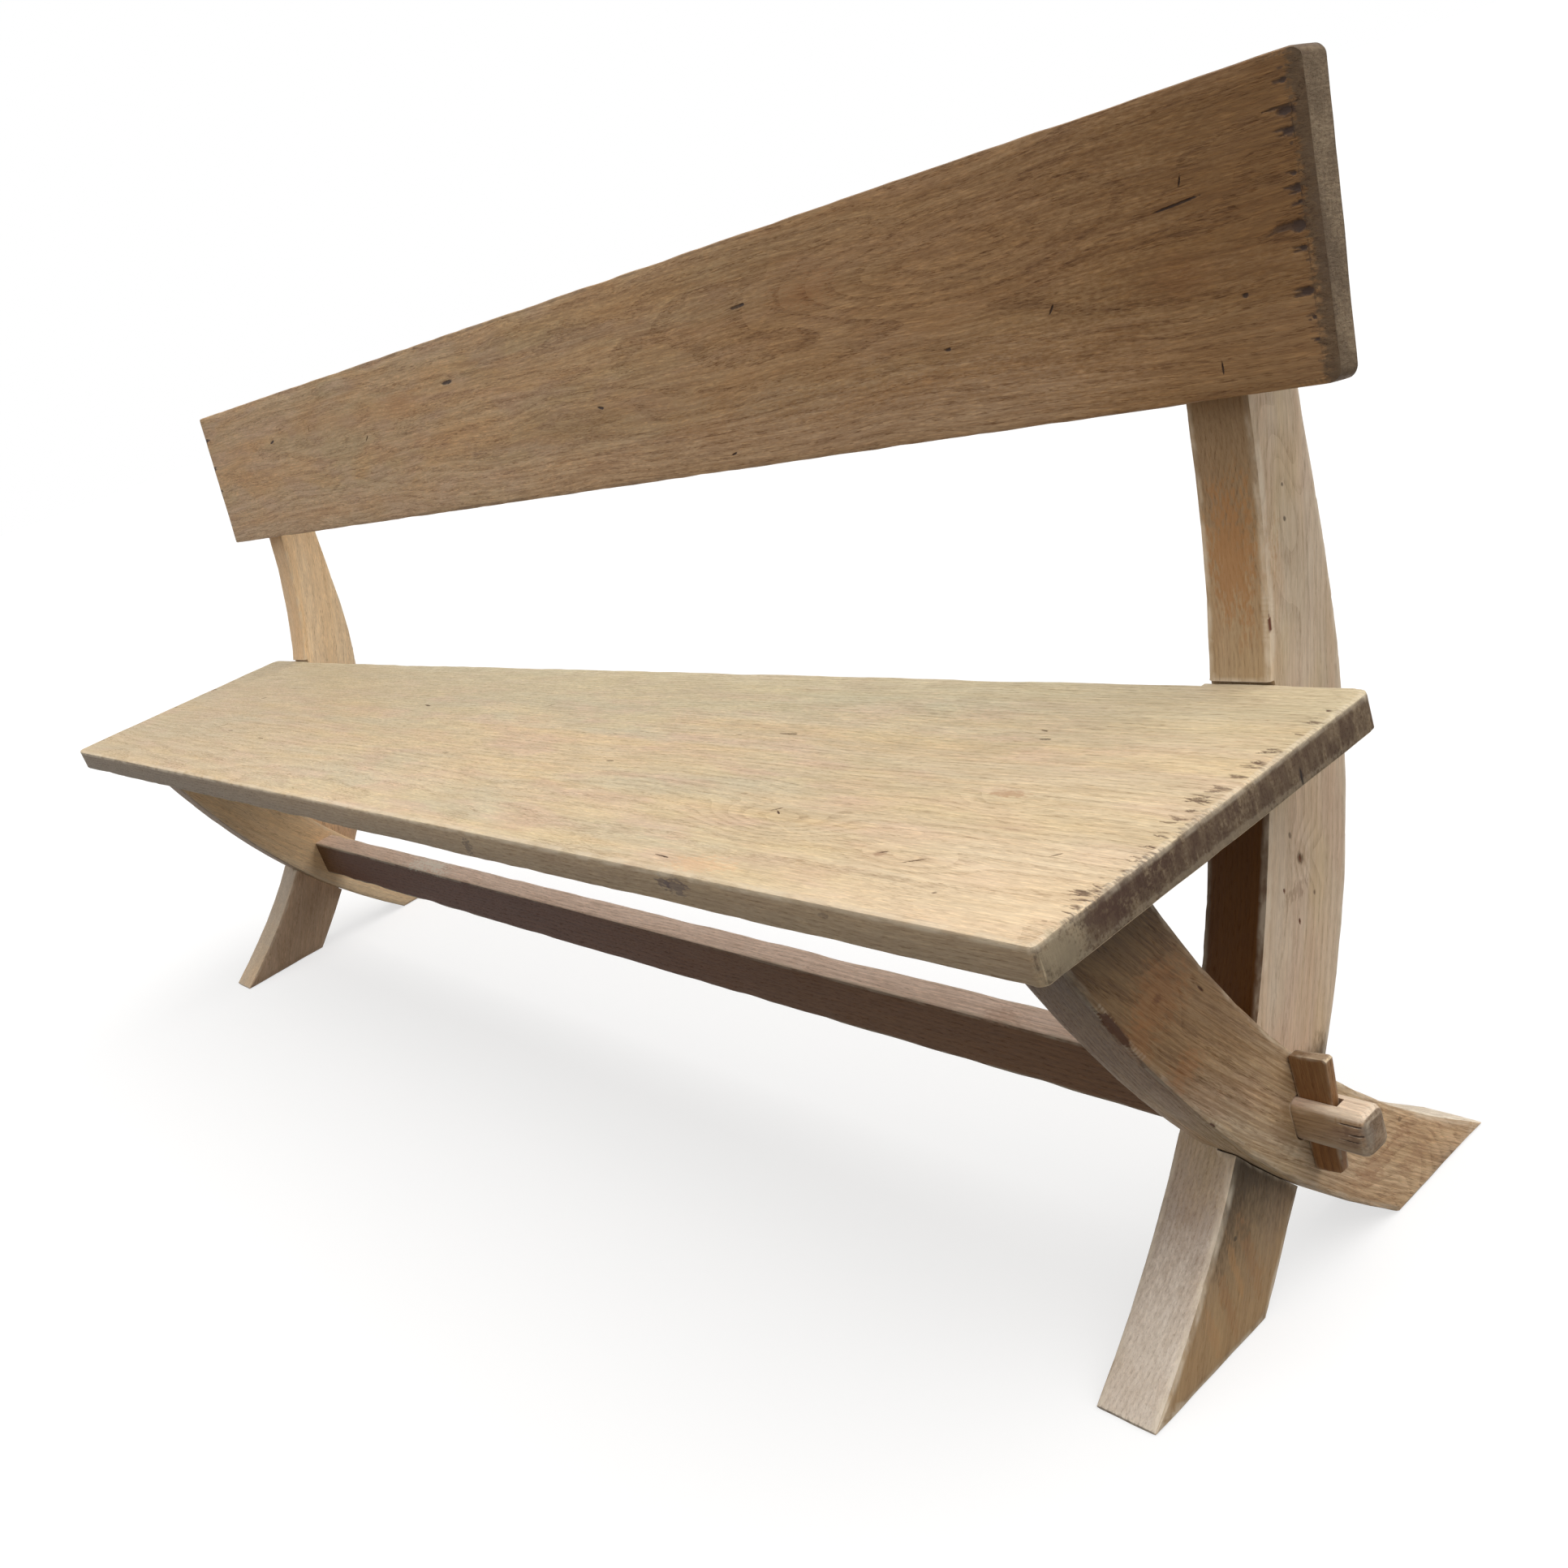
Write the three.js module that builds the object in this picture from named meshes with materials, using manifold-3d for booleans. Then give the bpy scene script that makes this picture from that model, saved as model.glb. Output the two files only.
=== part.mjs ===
// A long bench in solid oak. A raked back plank and a seat plank are carried by two end frames, and each
// frame is a curved post crossed by a curved leg. One stretcher runs from frame to frame through both
// crossings, and a loose wedge through each end of it draws the frames tight.
//
// Millimetres. X runs along the bench, Y from its front to its back and Z up from the floor. While the
// pieces are made, Y is measured from the front edge of the seat; the whole bench is centred at the end.
import * as THREE from "three";
import { mergeVertices } from "three/addons/utils/BufferGeometryUtils.js";
import Module from "manifold-3d";

const wasm = await Module();
wasm.setup();
const degree = Math.PI / 180;

// Seat plank
const seat_length = 2114;
const seat_depth = 363.5;
const seat_thickness = 29;
const seat_height = 450;
const seat_front_corner_round = 5;
const seat_rear_corner_round = 14;
const seat_ease = 4;
const seat_under_ease = 1.2;
const seat_rear_round = 10;
const seat_rear_round_stop = 3;

// Back plank, a little longer than the seat at each end, and thicker towards its top. Its setback and
// height are those of the lower front edge.
const back_past_seat = 7.5;
const back_width = 209;
const back_foot_thickness = 26;
const back_top_thickness = 34;
const back_setback = 382;
const back_height = 656;
const back_rake = 8 * degree;
const back_corner_round = 9;
const back_ease = 4;
const back_end_bevel_length = 10;
const back_end_bevel_depth = 4;

// End frames, each set in from the end of the seat
const frame_inset = 82.5;
const frame_stock = 57.5;
const frame_ease = 4;
const leg_proud = 22.7;
const toe_blunt = 4;

// Post: from the front foot it sweeps back behind the seat, then up behind the back plank. Its widths are
// measured level. The angles of its edges are measured from the floor, and so are the leg's below. Each
// pair of shares says how much of an edge's length keeps the direction of its lower and its upper end.
const post_toe_setback = 42;
const post_foot_length = 142;
const post_seat_ledge = 15.5;
const post_housing_gap = 1.5;
const post_seat_width = 95;
const post_neck_drop = 8;
const post_neck_width = 61;
const post_top_drop = 14;
const post_top_width = 46;
const post_toe_angle = 37 * degree;
const post_heel_angle = 44.5 * degree;
const post_seat_front_angle = 68.5 * degree;
const post_seat_rear_angle = 77 * degree;
const post_neck_rear_angle = 86 * degree;
const post_lower_front_shares = [0.38, 0.46];
const post_upper_front_shares = [0.22, 0.47];
const post_lower_rear_shares = [0.34, 0.42];
const post_upper_rear_shares = [0.32, 0.4];

// Leg: from under the front of the seat it sweeps back to the rear foot
const leg_top_setback = 54;
const leg_top_width = 95.5;
const leg_foot_setback = 335;
const leg_foot_length = 132;
const leg_front_foot_angle = 140 * degree;
const leg_front_top_angle = 111 * degree;
const leg_rear_foot_angle = 141.5 * degree;
const leg_rear_top_angle = 108.5 * degree;
const leg_front_shares = [0.345, 0.397];
const leg_rear_shares = [0.136, 0.538];

// Stretcher. Its tenons sit a little above the middle of the crossing and of the stretcher's own height.
const stretcher_height = 56.5;
const stretcher_thickness = 33.5;
const stretcher_round = 3;
const stretcher_drop = 3;
const tenon_shift = 0.2;
const tenon_lift = 8.2;
const tenon_height = 36;
const tenon_thickness = 28.5;
const tenon_round = 8;
const tenon_reach = 60;
const tenon_end_ease = 5;

// Wedges. The mortise for each starts inside the frame's outer face, so that the wedge can draw it tight.
const wedge_height = 102;
const wedge_top_width = 33.5;
const wedge_foot_width = 24;
const wedge_thickness = 9;
const wedge_drop = 48;
const wedge_round = 2;
const wedge_ease = 1;
const wedge_draw = 6;
const wedge_mouth_width = 3;
const wedge_mouth_depth = 7;

// Hidden fasteners: wooden dowels under the seat, and screws driven from behind under wooden plugs
const dowel_radius = 6;
const dowel_in_seat = 18;
const dowel_in_leg = 24;
const dowel_chamfer = 1;
const dowel_shares = [0.3, 0.7];
const back_screw = { radius: 2.75, head_radius: 5.5, head_height: 4, grip: 32, bite: 18, tip: 6 };
const back_screw_shares = [0.27, 0.75];
const seat_screw = { radius: 4, head_radius: 7, head_height: 6, grip: 62, bite: 45, tip: 9 };
const seat_screw_spacing = 30;
const plug_margin = 1.5;

// Clearances between pieces, and how far a cutting shape runs past what it cuts
const clearance = 0.3;
const lap_clearance = 0.45;
const cut_overrun = 5;

// How finely curves are drawn
const edge_steps = 14;
const round_steps = 4;
const ease_steps = 2;
const rod_sides = 20;

const pale_oak = new THREE.MeshStandardMaterial({ color: 0xcdb795, roughness: 0.75, metalness: 0 });
const brown_oak = new THREE.MeshStandardMaterial({ color: 0xa4885f, roughness: 0.75, metalness: 0 });
const frame_oak = new THREE.MeshStandardMaterial({ color: 0xc2a27a, roughness: 0.72, metalness: 0 });
const stretcher_oak = new THREE.MeshStandardMaterial({ color: 0xb09478, roughness: 0.75, metalness: 0 });
const wedge_oak = new THREE.MeshStandardMaterial({ color: 0x8a6238, roughness: 0.7, metalness: 0 });
const steel = new THREE.MeshStandardMaterial({ color: 0xb4b6b8, roughness: 0.4, metalness: 1 });

// Solids
function solidOf(geometry) {
  const bare = geometry.clone();
  bare.deleteAttribute("normal");
  bare.deleteAttribute("uv");
  const merged = mergeVertices(bare);
  const vertProperties = merged.attributes.position.array;
  const triVerts = new Uint32Array(merged.index.array);
  return new wasm.Manifold(new wasm.Mesh({ numProp: 3, vertProperties, triVerts }));
}

function geometryOf(solid) {
  const mesh = solid.getMesh();
  const geometry = new THREE.BufferGeometry();
  geometry.setAttribute("position", new THREE.BufferAttribute(mesh.vertProperties, mesh.numProp));
  geometry.setIndex(new THREE.BufferAttribute(mesh.triVerts, 1));
  const faceted = geometry.toNonIndexed();
  faceted.computeVertexNormals();
  return faceted;
}

// A blank with each of the tools' shapes taken out of it
function cut(blank, tools) {
  return geometryOf(tools.reduce((rest, tool) => rest.subtract(solidOf(tool)), solidOf(blank)));
}

function piece(name, geometry, material) {
  const mesh = new THREE.Mesh(geometry, material);
  mesh.name = name;
  return mesh;
}

// A board of the shape's outline, from z = 0 up to the thickness, with its arrises eased
function board(shape, thickness, ease) {
  return new THREE.ExtrudeGeometry(shape, {
    depth: thickness - 2 * ease,
    bevelEnabled: ease > 0,
    bevelThickness: ease,
    bevelSize: ease,
    bevelOffset: -ease,
    bevelSegments: ease_steps,
    curveSegments: round_steps,
  }).translate(0, 0, ease);
}

// The same board stood on edge across the bench: the outline's x and y become Y and Z
function standingBoard(shape, thickness, ease) {
  const across = new THREE.Vector3(0, 1, 0);
  const up = new THREE.Vector3(0, 0, 1);
  const along = new THREE.Vector3(1, 0, 0);
  return board(shape, thickness, ease).applyMatrix4(new THREE.Matrix4().makeBasis(across, up, along));
}

function box(low, high) {
  const size = high.clone().sub(low);
  const middle = low.clone().add(high).divideScalar(2);
  return new THREE.BoxGeometry(size.x, size.y, size.z).translate(middle.x, middle.y, middle.z);
}

// A rectangle with one round at its two upper corners and another at its two lower ones
function roundedRectangle(width, height, round, lower_round = round) {
  const right = width / 2 - round;
  const top = height / 2 - round;
  const lower_right = width / 2 - lower_round;
  const lower_top = height / 2 - lower_round;
  return new THREE.Shape()
    .absarc(right, top, round, 0, 90 * degree)
    .absarc(-right, top, round, 90 * degree, 180 * degree)
    .absarc(-lower_right, -lower_top, lower_round, 180 * degree, 270 * degree)
    .absarc(lower_right, -lower_top, lower_round, 270 * degree, 360 * degree);
}

// Turns a shape made along +Y from the origin so that it runs from one point towards another
function aimed(geometry, start, end) {
  const direction = end.clone().sub(start).normalize();
  const turn = new THREE.Quaternion().setFromUnitVectors(new THREE.Vector3(0, 1, 0), direction);
  return geometry.applyQuaternion(turn).translate(start.x, start.y, start.z);
}

function rod(radius, start, end, chamfer = 0) {
  const length = start.distanceTo(end);
  const profile = [
    new THREE.Vector2(0, 0),
    new THREE.Vector2(radius - chamfer, 0),
    new THREE.Vector2(radius, chamfer),
    new THREE.Vector2(radius, length - chamfer),
    new THREE.Vector2(radius - chamfer, length),
    new THREE.Vector2(0, length),
  ];
  return aimed(new THREE.LatheGeometry(profile, rod_sides), start, end);
}

// A cutting bar along the bench that rounds the arris whose square corner is at the origin
function arrisRounder(round, length) {
  const corner = new THREE.Shape()
    .absarc(-round, -round, round, 0, 90 * degree)
    .lineTo(-round, cut_overrun)
    .lineTo(cut_overrun, cut_overrun)
    .lineTo(cut_overrun, -round);
  return standingBoard(corner, length, 0);
}

// Outlines of the end frames, in depth behind the seat's front edge and height above the floor
const seat_underside = seat_height - seat_thickness;
const back_length = seat_length + 2 * back_past_seat;

// A point on the raked back plank: so far up its face and so far behind the face
function onBack(up, behind) {
  const depth = back_setback + up * Math.sin(back_rake) + behind * Math.cos(back_rake);
  const height = back_height + up * Math.cos(back_rake) - behind * Math.sin(back_rake);
  return new THREE.Vector2(depth, height);
}

function backThicknessAt(up) {
  return back_foot_thickness + ((back_top_thickness - back_foot_thickness) * up) / back_width;
}

function headed(angle, length) {
  return new THREE.Vector2(length * Math.cos(angle), length * Math.sin(angle));
}

// A sawn edge leaves its lower end at one angle and reaches its upper end at another
function sawnEdge(low, low_angle, high, high_angle, shares) {
  const length = low.distanceTo(high);
  const low_handle = low.clone().add(headed(low_angle, length * shares[0]));
  const high_handle = high.clone().sub(headed(high_angle, length * shares[1]));
  return new THREE.CubicBezierCurve(low, low_handle, high_handle, high);
}

// The edges can be grown by a clearance, for the notch that takes the piece
function postEdges(grown = 0) {
  const neck_up = -post_neck_drop;
  const top_up = back_width - post_top_drop;
  const plank_gap = clearance - grown;
  const toe = new THREE.Vector2(post_toe_setback - grown, 0);
  const heel = new THREE.Vector2(post_toe_setback + post_foot_length + grown, 0);
  const seat_front = new THREE.Vector2(seat_depth - post_seat_ledge - grown, seat_underside);
  const seat_rear = seat_front.clone().add(new THREE.Vector2(post_seat_width + 2 * grown, 0));
  const neck_front = onBack(neck_up, backThicknessAt(neck_up) + plank_gap);
  const neck_rear = neck_front.clone().add(new THREE.Vector2(post_neck_width + 2 * grown, 0));
  const top_front = onBack(top_up, backThicknessAt(top_up) + plank_gap);
  const top_rear = top_front.clone().add(new THREE.Vector2(post_top_width + 2 * grown, 0));
  const front_angles = [post_toe_angle, post_seat_front_angle, 90 * degree - back_rake];
  const rear_angles = [post_heel_angle, post_seat_rear_angle, post_neck_rear_angle];
  return {
    lower_front: sawnEdge(toe, front_angles[0], seat_front, front_angles[1], post_lower_front_shares),
    upper_front: sawnEdge(seat_front, front_angles[1], neck_front, front_angles[2], post_upper_front_shares),
    lower_rear: sawnEdge(heel, rear_angles[0], seat_rear, rear_angles[1], post_lower_rear_shares),
    upper_rear: sawnEdge(seat_rear, rear_angles[1], neck_rear, rear_angles[2], post_upper_rear_shares),
    top_front,
    top_rear,
  };
}

function legEdges(grown = 0) {
  const top = seat_underside - clearance;
  const toe = new THREE.Vector2(leg_foot_setback - grown, 0);
  const heel = new THREE.Vector2(leg_foot_setback + leg_foot_length + grown, 0);
  const top_front = new THREE.Vector2(leg_top_setback - grown, top);
  const top_rear = new THREE.Vector2(leg_top_setback + leg_top_width + grown, top);
  return {
    front: sawnEdge(toe, leg_front_foot_angle, top_front, leg_front_top_angle, leg_front_shares),
    rear: sawnEdge(heel, leg_rear_foot_angle, top_rear, leg_rear_top_angle, leg_rear_shares),
  };
}

// The points of one edge after another, upwards
function pointsAlong(...edges) {
  return edges.flatMap((edge, i) => edge.getPoints(edge_steps).slice(i === 0 ? 0 : 1));
}

function postShape(grown) {
  const edges = postEdges(grown);
  const rear = pointsAlong(edges.lower_rear, edges.upper_rear);
  const front = pointsAlong(edges.lower_front, edges.upper_front);
  return new THREE.Shape([...rear, edges.top_rear, edges.top_front, ...front.reverse()]);
}

function legShape(grown) {
  const edges = legEdges(grown);
  return new THREE.Shape([...pointsAlong(edges.rear), ...pointsAlong(edges.front).reverse()]);
}

// The point where the middle lines of the post and the leg cross
function crossing() {
  const steps = edge_steps ** 2;
  const middles = (front, rear) =>
    front.getPoints(steps).map((point, i) => point.add(rear.getPoint(i / steps)).divideScalar(2));
  const post = middles(postEdges().lower_front, postEdges().lower_rear);
  const leg = middles(legEdges().front, legEdges().rear);
  const pairs = post.flatMap((a) => leg.map((b) => ({ apart: a.distanceTo(b), point: a })));
  return pairs.reduce((best, pair) => (pair.apart < best.apart ? pair : best)).point;
}

// Across an end frame, x is measured from the middle of the post's stock. The post and the leg are
// halved into each other where they overlap.
const post_low_x = -frame_stock / 2;
const post_high_x = frame_stock / 2;
const leg_low_x = post_low_x + leg_proud;
const leg_high_x = post_high_x + leg_proud;
const lap_x = (leg_low_x + post_high_x) / 2;
const tenon_middle = crossing().add(new THREE.Vector2(tenon_shift, tenon_lift));
const right_x = seat_length / 2 - frame_inset - frame_stock / 2;
const left_x = -right_x;

function tenonBar(low_x, high_x, grown, end_ease) {
  const section = roundedRectangle(tenon_thickness + 2 * grown, tenon_height + 2 * grown, tenon_round);
  return standingBoard(section, high_x - low_x, end_ease).translate(low_x, tenon_middle.x, tenon_middle.y);
}

// Screws. Each runs forwards from its head, which sits so far behind the joint that it pulls together.
function screwPlaces(screw, joint, forwards) {
  const head_seat = joint.clone().addScaledVector(forwards, -screw.grip);
  return {
    head_seat,
    head_top: head_seat.clone().addScaledVector(forwards, -clearance - screw.head_height),
    tip: joint.clone().addScaledVector(forwards, screw.bite),
    outside: head_seat.clone().addScaledVector(forwards, -post_seat_width),
  };
}

function screwHoles(screw, places, forwards) {
  const hole_end = places.tip.clone().addScaledVector(forwards, clearance);
  return [
    rod(screw.radius + clearance, places.head_seat, hole_end),
    rod(screw.head_radius + plug_margin, places.outside, places.head_seat),
  ];
}

function screwBody(screw, places) {
  const shank_start = screw.head_height;
  const length = places.head_top.distanceTo(places.tip);
  const profile = [
    new THREE.Vector2(0, 0),
    new THREE.Vector2(screw.head_radius, 0),
    new THREE.Vector2(screw.head_radius, shank_start),
    new THREE.Vector2(screw.radius, shank_start),
    new THREE.Vector2(screw.radius, length - screw.tip),
    new THREE.Vector2(0, length),
  ];
  return aimed(new THREE.LatheGeometry(profile, rod_sides), places.head_top, places.tip);
}

// A plug fills the hole over the head, and is trimmed flush with the back of the post
function plugBody(screw, places, forwards, post_blank) {
  const inner_end = places.head_top.clone().addScaledVector(forwards, -clearance);
  const blank = rod(screw.head_radius + plug_margin - clearance, places.outside, inner_end);
  return geometryOf(solidOf(blank).intersect(solidOf(post_blank)));
}

function frameScrews() {
  const seat_forwards = new THREE.Vector3(0, -1, 0);
  const back_forwards = new THREE.Vector3(0, -Math.cos(back_rake), Math.sin(back_rake));
  const seat_middle = seat_height - seat_thickness / 2;
  const seat_screws = [-1, 1].map((side, i) => ({
    label: ["inner", "outer"][i],
    family: "seat",
    size: seat_screw,
    forwards: seat_forwards,
    joint: new THREE.Vector3((side * seat_screw_spacing) / 2, seat_depth, seat_middle),
  }));
  const back_screws = back_screw_shares.map((share, i) => {
    const place = onBack(share * back_width, backThicknessAt(share * back_width));
    return {
      label: ["low", "high"][i],
      family: "back",
      size: back_screw,
      forwards: back_forwards,
      joint: new THREE.Vector3(0, place.x, place.y),
    };
  });
  return [...seat_screws, ...back_screws].map((screw) => ({
    ...screw,
    places: screwPlaces(screw.size, screw.joint, screw.forwards),
  }));
}

function dowelPlaces() {
  return dowel_shares.map((share) => {
    const depth = leg_top_setback + share * leg_top_width;
    const x = (leg_low_x + leg_high_x) / 2;
    return {
      low: new THREE.Vector3(x, depth, seat_underside - dowel_in_leg),
      high: new THREE.Vector3(x, depth, seat_underside + dowel_in_seat),
    };
  });
}

function dowelHole(place) {
  const low = place.low.clone().add(new THREE.Vector3(0, 0, -clearance));
  const high = place.high.clone().add(new THREE.Vector3(0, 0, clearance));
  return rod(dowel_radius + clearance, low, high);
}

// An end frame, with its post, its leg and the fasteners that they hold
function endFrame(side) {
  const frame = new THREE.Group();
  const screws = frameScrews();
  const dowels = dowelPlaces();
  const far = leg_high_x - post_low_x + cut_overrun;
  const mortise = tenonBar(post_low_x - cut_overrun, leg_high_x + cut_overrun, clearance, 0);

  const post_blank = standingBoard(postShape(0), frame_stock, frame_ease).translate(post_low_x, 0, 0);
  const leg_notch = standingBoard(legShape(lap_clearance), far, 0).translate(lap_x - clearance / 2, 0, 0);
  const ledge_front = seat_depth - post_seat_ledge;
  const seat_housing = box(
    new THREE.Vector3(post_low_x - cut_overrun, ledge_front - cut_overrun, seat_underside - clearance),
    new THREE.Vector3(post_high_x + cut_overrun, seat_depth + clearance, seat_height + post_housing_gap),
  );
  const post_toe = box(
    new THREE.Vector3(post_low_x - cut_overrun, post_toe_setback - cut_overrun, -cut_overrun),
    new THREE.Vector3(post_high_x + cut_overrun, post_toe_setback + toe_blunt, frame_stock),
  );
  const post_holes = screws.flatMap((screw) => screwHoles(screw.size, screw.places, screw.forwards));
  const post = cut(post_blank, [leg_notch, mortise, seat_housing, post_toe, ...post_holes]);
  frame.add(piece(`post_${side}`, post, frame_oak));

  const leg_blank = standingBoard(legShape(0), frame_stock, frame_ease).translate(leg_low_x, 0, 0);
  const post_notch = standingBoard(postShape(lap_clearance), far, 0);
  post_notch.translate(lap_x + clearance / 2 - far, 0, 0);
  const leg_heel_setback = leg_foot_setback + leg_foot_length;
  const leg_toe = box(
    new THREE.Vector3(leg_low_x - cut_overrun, leg_heel_setback - toe_blunt, -cut_overrun),
    new THREE.Vector3(leg_high_x + cut_overrun, leg_heel_setback + cut_overrun, frame_stock),
  );
  const leg = cut(leg_blank, [post_notch, mortise, leg_toe, ...dowels.map(dowelHole)]);
  frame.add(piece(`leg_${side}`, leg, frame_oak));

  screws.forEach((screw) => {
    const name = `${screw.family}_screw_${side}_${screw.label}`;
    frame.add(piece(name, screwBody(screw.size, screw.places), steel));
    const plug = plugBody(screw.size, screw.places, screw.forwards, post_blank);
    frame.add(piece(name.replace("screw", "plug"), plug, frame_oak));
  });
  dowels.forEach((place, i) => {
    const dowel = rod(dowel_radius, place.low, place.high, dowel_chamfer);
    frame.add(piece(`dowel_${side}_${["front", "rear"][i]}`, dowel, frame_oak));
  });
  return frame;
}

// The seat plank, bored from below for the dowels and from behind for the screws. Its underside is planed
// until the arrises there are almost sharp, and between the posts its rear top arris is worn rounder.
function seatPlank() {
  const outline = roundedRectangle(seat_length, seat_depth, seat_rear_corner_round, seat_front_corner_round);
  const planed = seat_ease - seat_under_ease;
  const blank = board(outline, seat_thickness + planed, seat_ease);
  blank.translate(0, seat_depth / 2, seat_underside - planed);
  const underside = box(
    new THREE.Vector3(-seat_length, -seat_depth, seat_underside - seat_thickness),
    new THREE.Vector3(seat_length, 2 * seat_depth, seat_underside),
  );
  const low_x = left_x + post_high_x + seat_rear_round_stop;
  const high_x = right_x + post_low_x - seat_rear_round_stop;
  const rear_arris = arrisRounder(seat_rear_round, high_x - low_x).translate(low_x, seat_depth, seat_height);
  const holes = [left_x, right_x].flatMap((x) => [
    ...dowelPlaces().map((place) => dowelHole(place).translate(x, 0, 0)),
    ...frameScrews()
      .filter((screw) => screw.family === "seat")
      .map((screw) => screwHoles(screw.size, screw.places, screw.forwards)[0].translate(x, 0, 0)),
  ]);
  return piece("seat_plank", cut(blank, [underside, rear_arris, ...holes]), pale_oak);
}

// Thins the back plank's blank towards its lower edge, from behind
function thinned(blank) {
  const places = blank.getAttribute("position");
  for (let i = 0; i < places.count; i++) {
    const share = backThicknessAt(places.getY(i)) / back_top_thickness;
    places.setZ(i, back_top_thickness - (back_top_thickness - places.getZ(i)) * share);
  }
  return blank;
}

// The back plank, made lying on its rear face with its lower edge on y = 0, then stood up at its rake
function backPlank() {
  const outline = roundedRectangle(back_length, back_width, back_corner_round);
  const blank = thinned(board(outline, back_top_thickness, back_ease).translate(0, back_width / 2, 0));
  const end = back_length / 2;
  const front = back_top_thickness;
  const bevel_shape = new THREE.Shape([
    new THREE.Vector2(end - back_end_bevel_length, front + cut_overrun),
    new THREE.Vector2(end - back_end_bevel_length, front),
    new THREE.Vector2(end, front - back_end_bevel_depth),
    new THREE.Vector2(end + cut_overrun, front - back_end_bevel_depth),
    new THREE.Vector2(end + cut_overrun, front + cut_overrun),
  ]);
  const bevel = board(bevel_shape, back_width + 2 * cut_overrun, 0)
    .rotateX(90 * degree)
    .translate(0, back_width + cut_overrun, 0);
  const holes = [left_x, right_x].flatMap((x) =>
    back_screw_shares.map((share) => {
      const y = share * back_width;
      const rear = back_top_thickness - backThicknessAt(y);
      const start = new THREE.Vector3(x, y, -cut_overrun);
      const end_of_hole = new THREE.Vector3(x, y, rear + back_screw.bite + clearance);
      return rod(back_screw.radius + clearance, start, end_of_hole);
    }),
  );
  const other_bevel = bevel.clone().rotateZ(180 * degree).translate(0, back_width, 0);
  const plank = piece("back_plank", cut(blank, [...holes, bevel, other_bevel]), brown_oak);
  const place = onBack(0, back_top_thickness);
  plank.position.set(0, place.x, place.y);
  plank.rotation.x = 90 * degree - back_rake;
  return plank;
}

// The stretcher: its shoulders meet the inner faces of the frames, and its tenons run on through them
const shoulder_low_x = left_x + leg_high_x + clearance;
const shoulder_high_x = right_x + post_low_x - clearance;
const outer_low_x = left_x + post_low_x;
const outer_high_x = right_x + leg_high_x;

function wedgeWidthAt(height) {
  return wedge_foot_width + ((wedge_top_width - wedge_foot_width) * height) / wedge_height;
}

// The slot for a wedge, with x from the frame's outer face and y from the wedge's foot. Its far wall
// slopes as the wedge does, and its mouth is opened a little at the top.
function wedgeSlot() {
  const low = wedge_drop - tenon_height;
  const top = wedge_drop + tenon_height / 2;
  const high = wedge_drop + tenon_height;
  const gap = 2 * clearance;
  const mouth = top - wedge_mouth_depth;
  const slot = new THREE.Shape([
    new THREE.Vector2(-wedge_draw, low),
    new THREE.Vector2(wedgeWidthAt(low) + gap, low),
    new THREE.Vector2(wedgeWidthAt(mouth) + gap, mouth),
    new THREE.Vector2(wedgeWidthAt(top) + gap + wedge_mouth_width, top),
    new THREE.Vector2(wedgeWidthAt(high) + gap + wedge_mouth_width, high),
    new THREE.Vector2(-wedge_draw, high),
  ]);
  return uprightAcross(board(slot, wedge_thickness + 2 * clearance, 0), wedge_thickness + 2 * clearance);
}

// Stands a board up along the bench, centred on its own thickness
function uprightAcross(geometry, thickness) {
  return geometry.translate(0, 0, -thickness / 2).rotateX(90 * degree);
}

function stretcher() {
  const section = roundedRectangle(stretcher_thickness, stretcher_height, stretcher_round);
  const body = standingBoard(section, shoulder_high_x - shoulder_low_x, 0);
  body.translate(shoulder_low_x, tenon_middle.x, tenon_middle.y - stretcher_drop);
  const bar = tenonBar(outer_low_x - tenon_reach, outer_high_x + tenon_reach, 0, tenon_end_ease);
  const foot = tenon_middle.y - wedge_drop;
  const slots = [
    wedgeSlot().translate(outer_high_x, tenon_middle.x, foot),
    wedgeSlot().rotateZ(180 * degree).translate(outer_low_x, tenon_middle.x, foot),
  ];
  const whole = geometryOf(solidOf(body).add(solidOf(bar)));
  return piece("stretcher", cut(whole, slots), stretcher_oak);
}

// A wedge hangs in its slot, flat against the frame's outer face and tapered on the other edge. Its ends
// are sawn square to the tapered edge, so they rise outwards.
function wedge(side, outer_x, turn) {
  const slope = (wedge_top_width - wedge_foot_width) / wedge_height;
  const endAt = (x) => new THREE.Vector2(x, slope * x);
  const topAt = (x) => endAt(x).setY(wedge_height + slope * x);
  const outerAt = (height) => new THREE.Vector2(wedgeWidthAt(height), height);
  const outer_foot = slope * wedge_foot_width;
  const outer_top = wedge_height + slope * wedge_top_width;
  const shape = new THREE.Shape([
    endAt(clearance),
    endAt(wedge_foot_width - wedge_round),
    outerAt(outer_foot + wedge_round),
    outerAt(outer_top - wedge_round),
    topAt(wedge_top_width - wedge_round),
    topAt(clearance + wedge_round),
    new THREE.Vector2(clearance, wedge_height - wedge_round),
  ]);
  const body = uprightAcross(board(shape, wedge_thickness, wedge_ease), wedge_thickness);
  const mesh = piece(`wedge_${side}`, body, wedge_oak);
  mesh.position.set(outer_x, tenon_middle.x, tenon_middle.y - wedge_drop);
  mesh.rotation.z = turn;
  return mesh;
}

const bench = new THREE.Group();
const right_frame = endFrame("right");
const left_frame = endFrame("left");
right_frame.position.x = right_x;
left_frame.position.x = left_x;
bench.add(seatPlank(), backPlank(), stretcher(), right_frame, left_frame);
bench.add(wedge("right", outer_high_x, 0), wedge("left", outer_low_x, 180 * degree));

// The origin is on the floor, under the middle of the bench
const reach = new THREE.Box3().setFromObject(bench);
bench.position.y = -(reach.min.y + reach.max.y) / 2;

export default bench;
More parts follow.
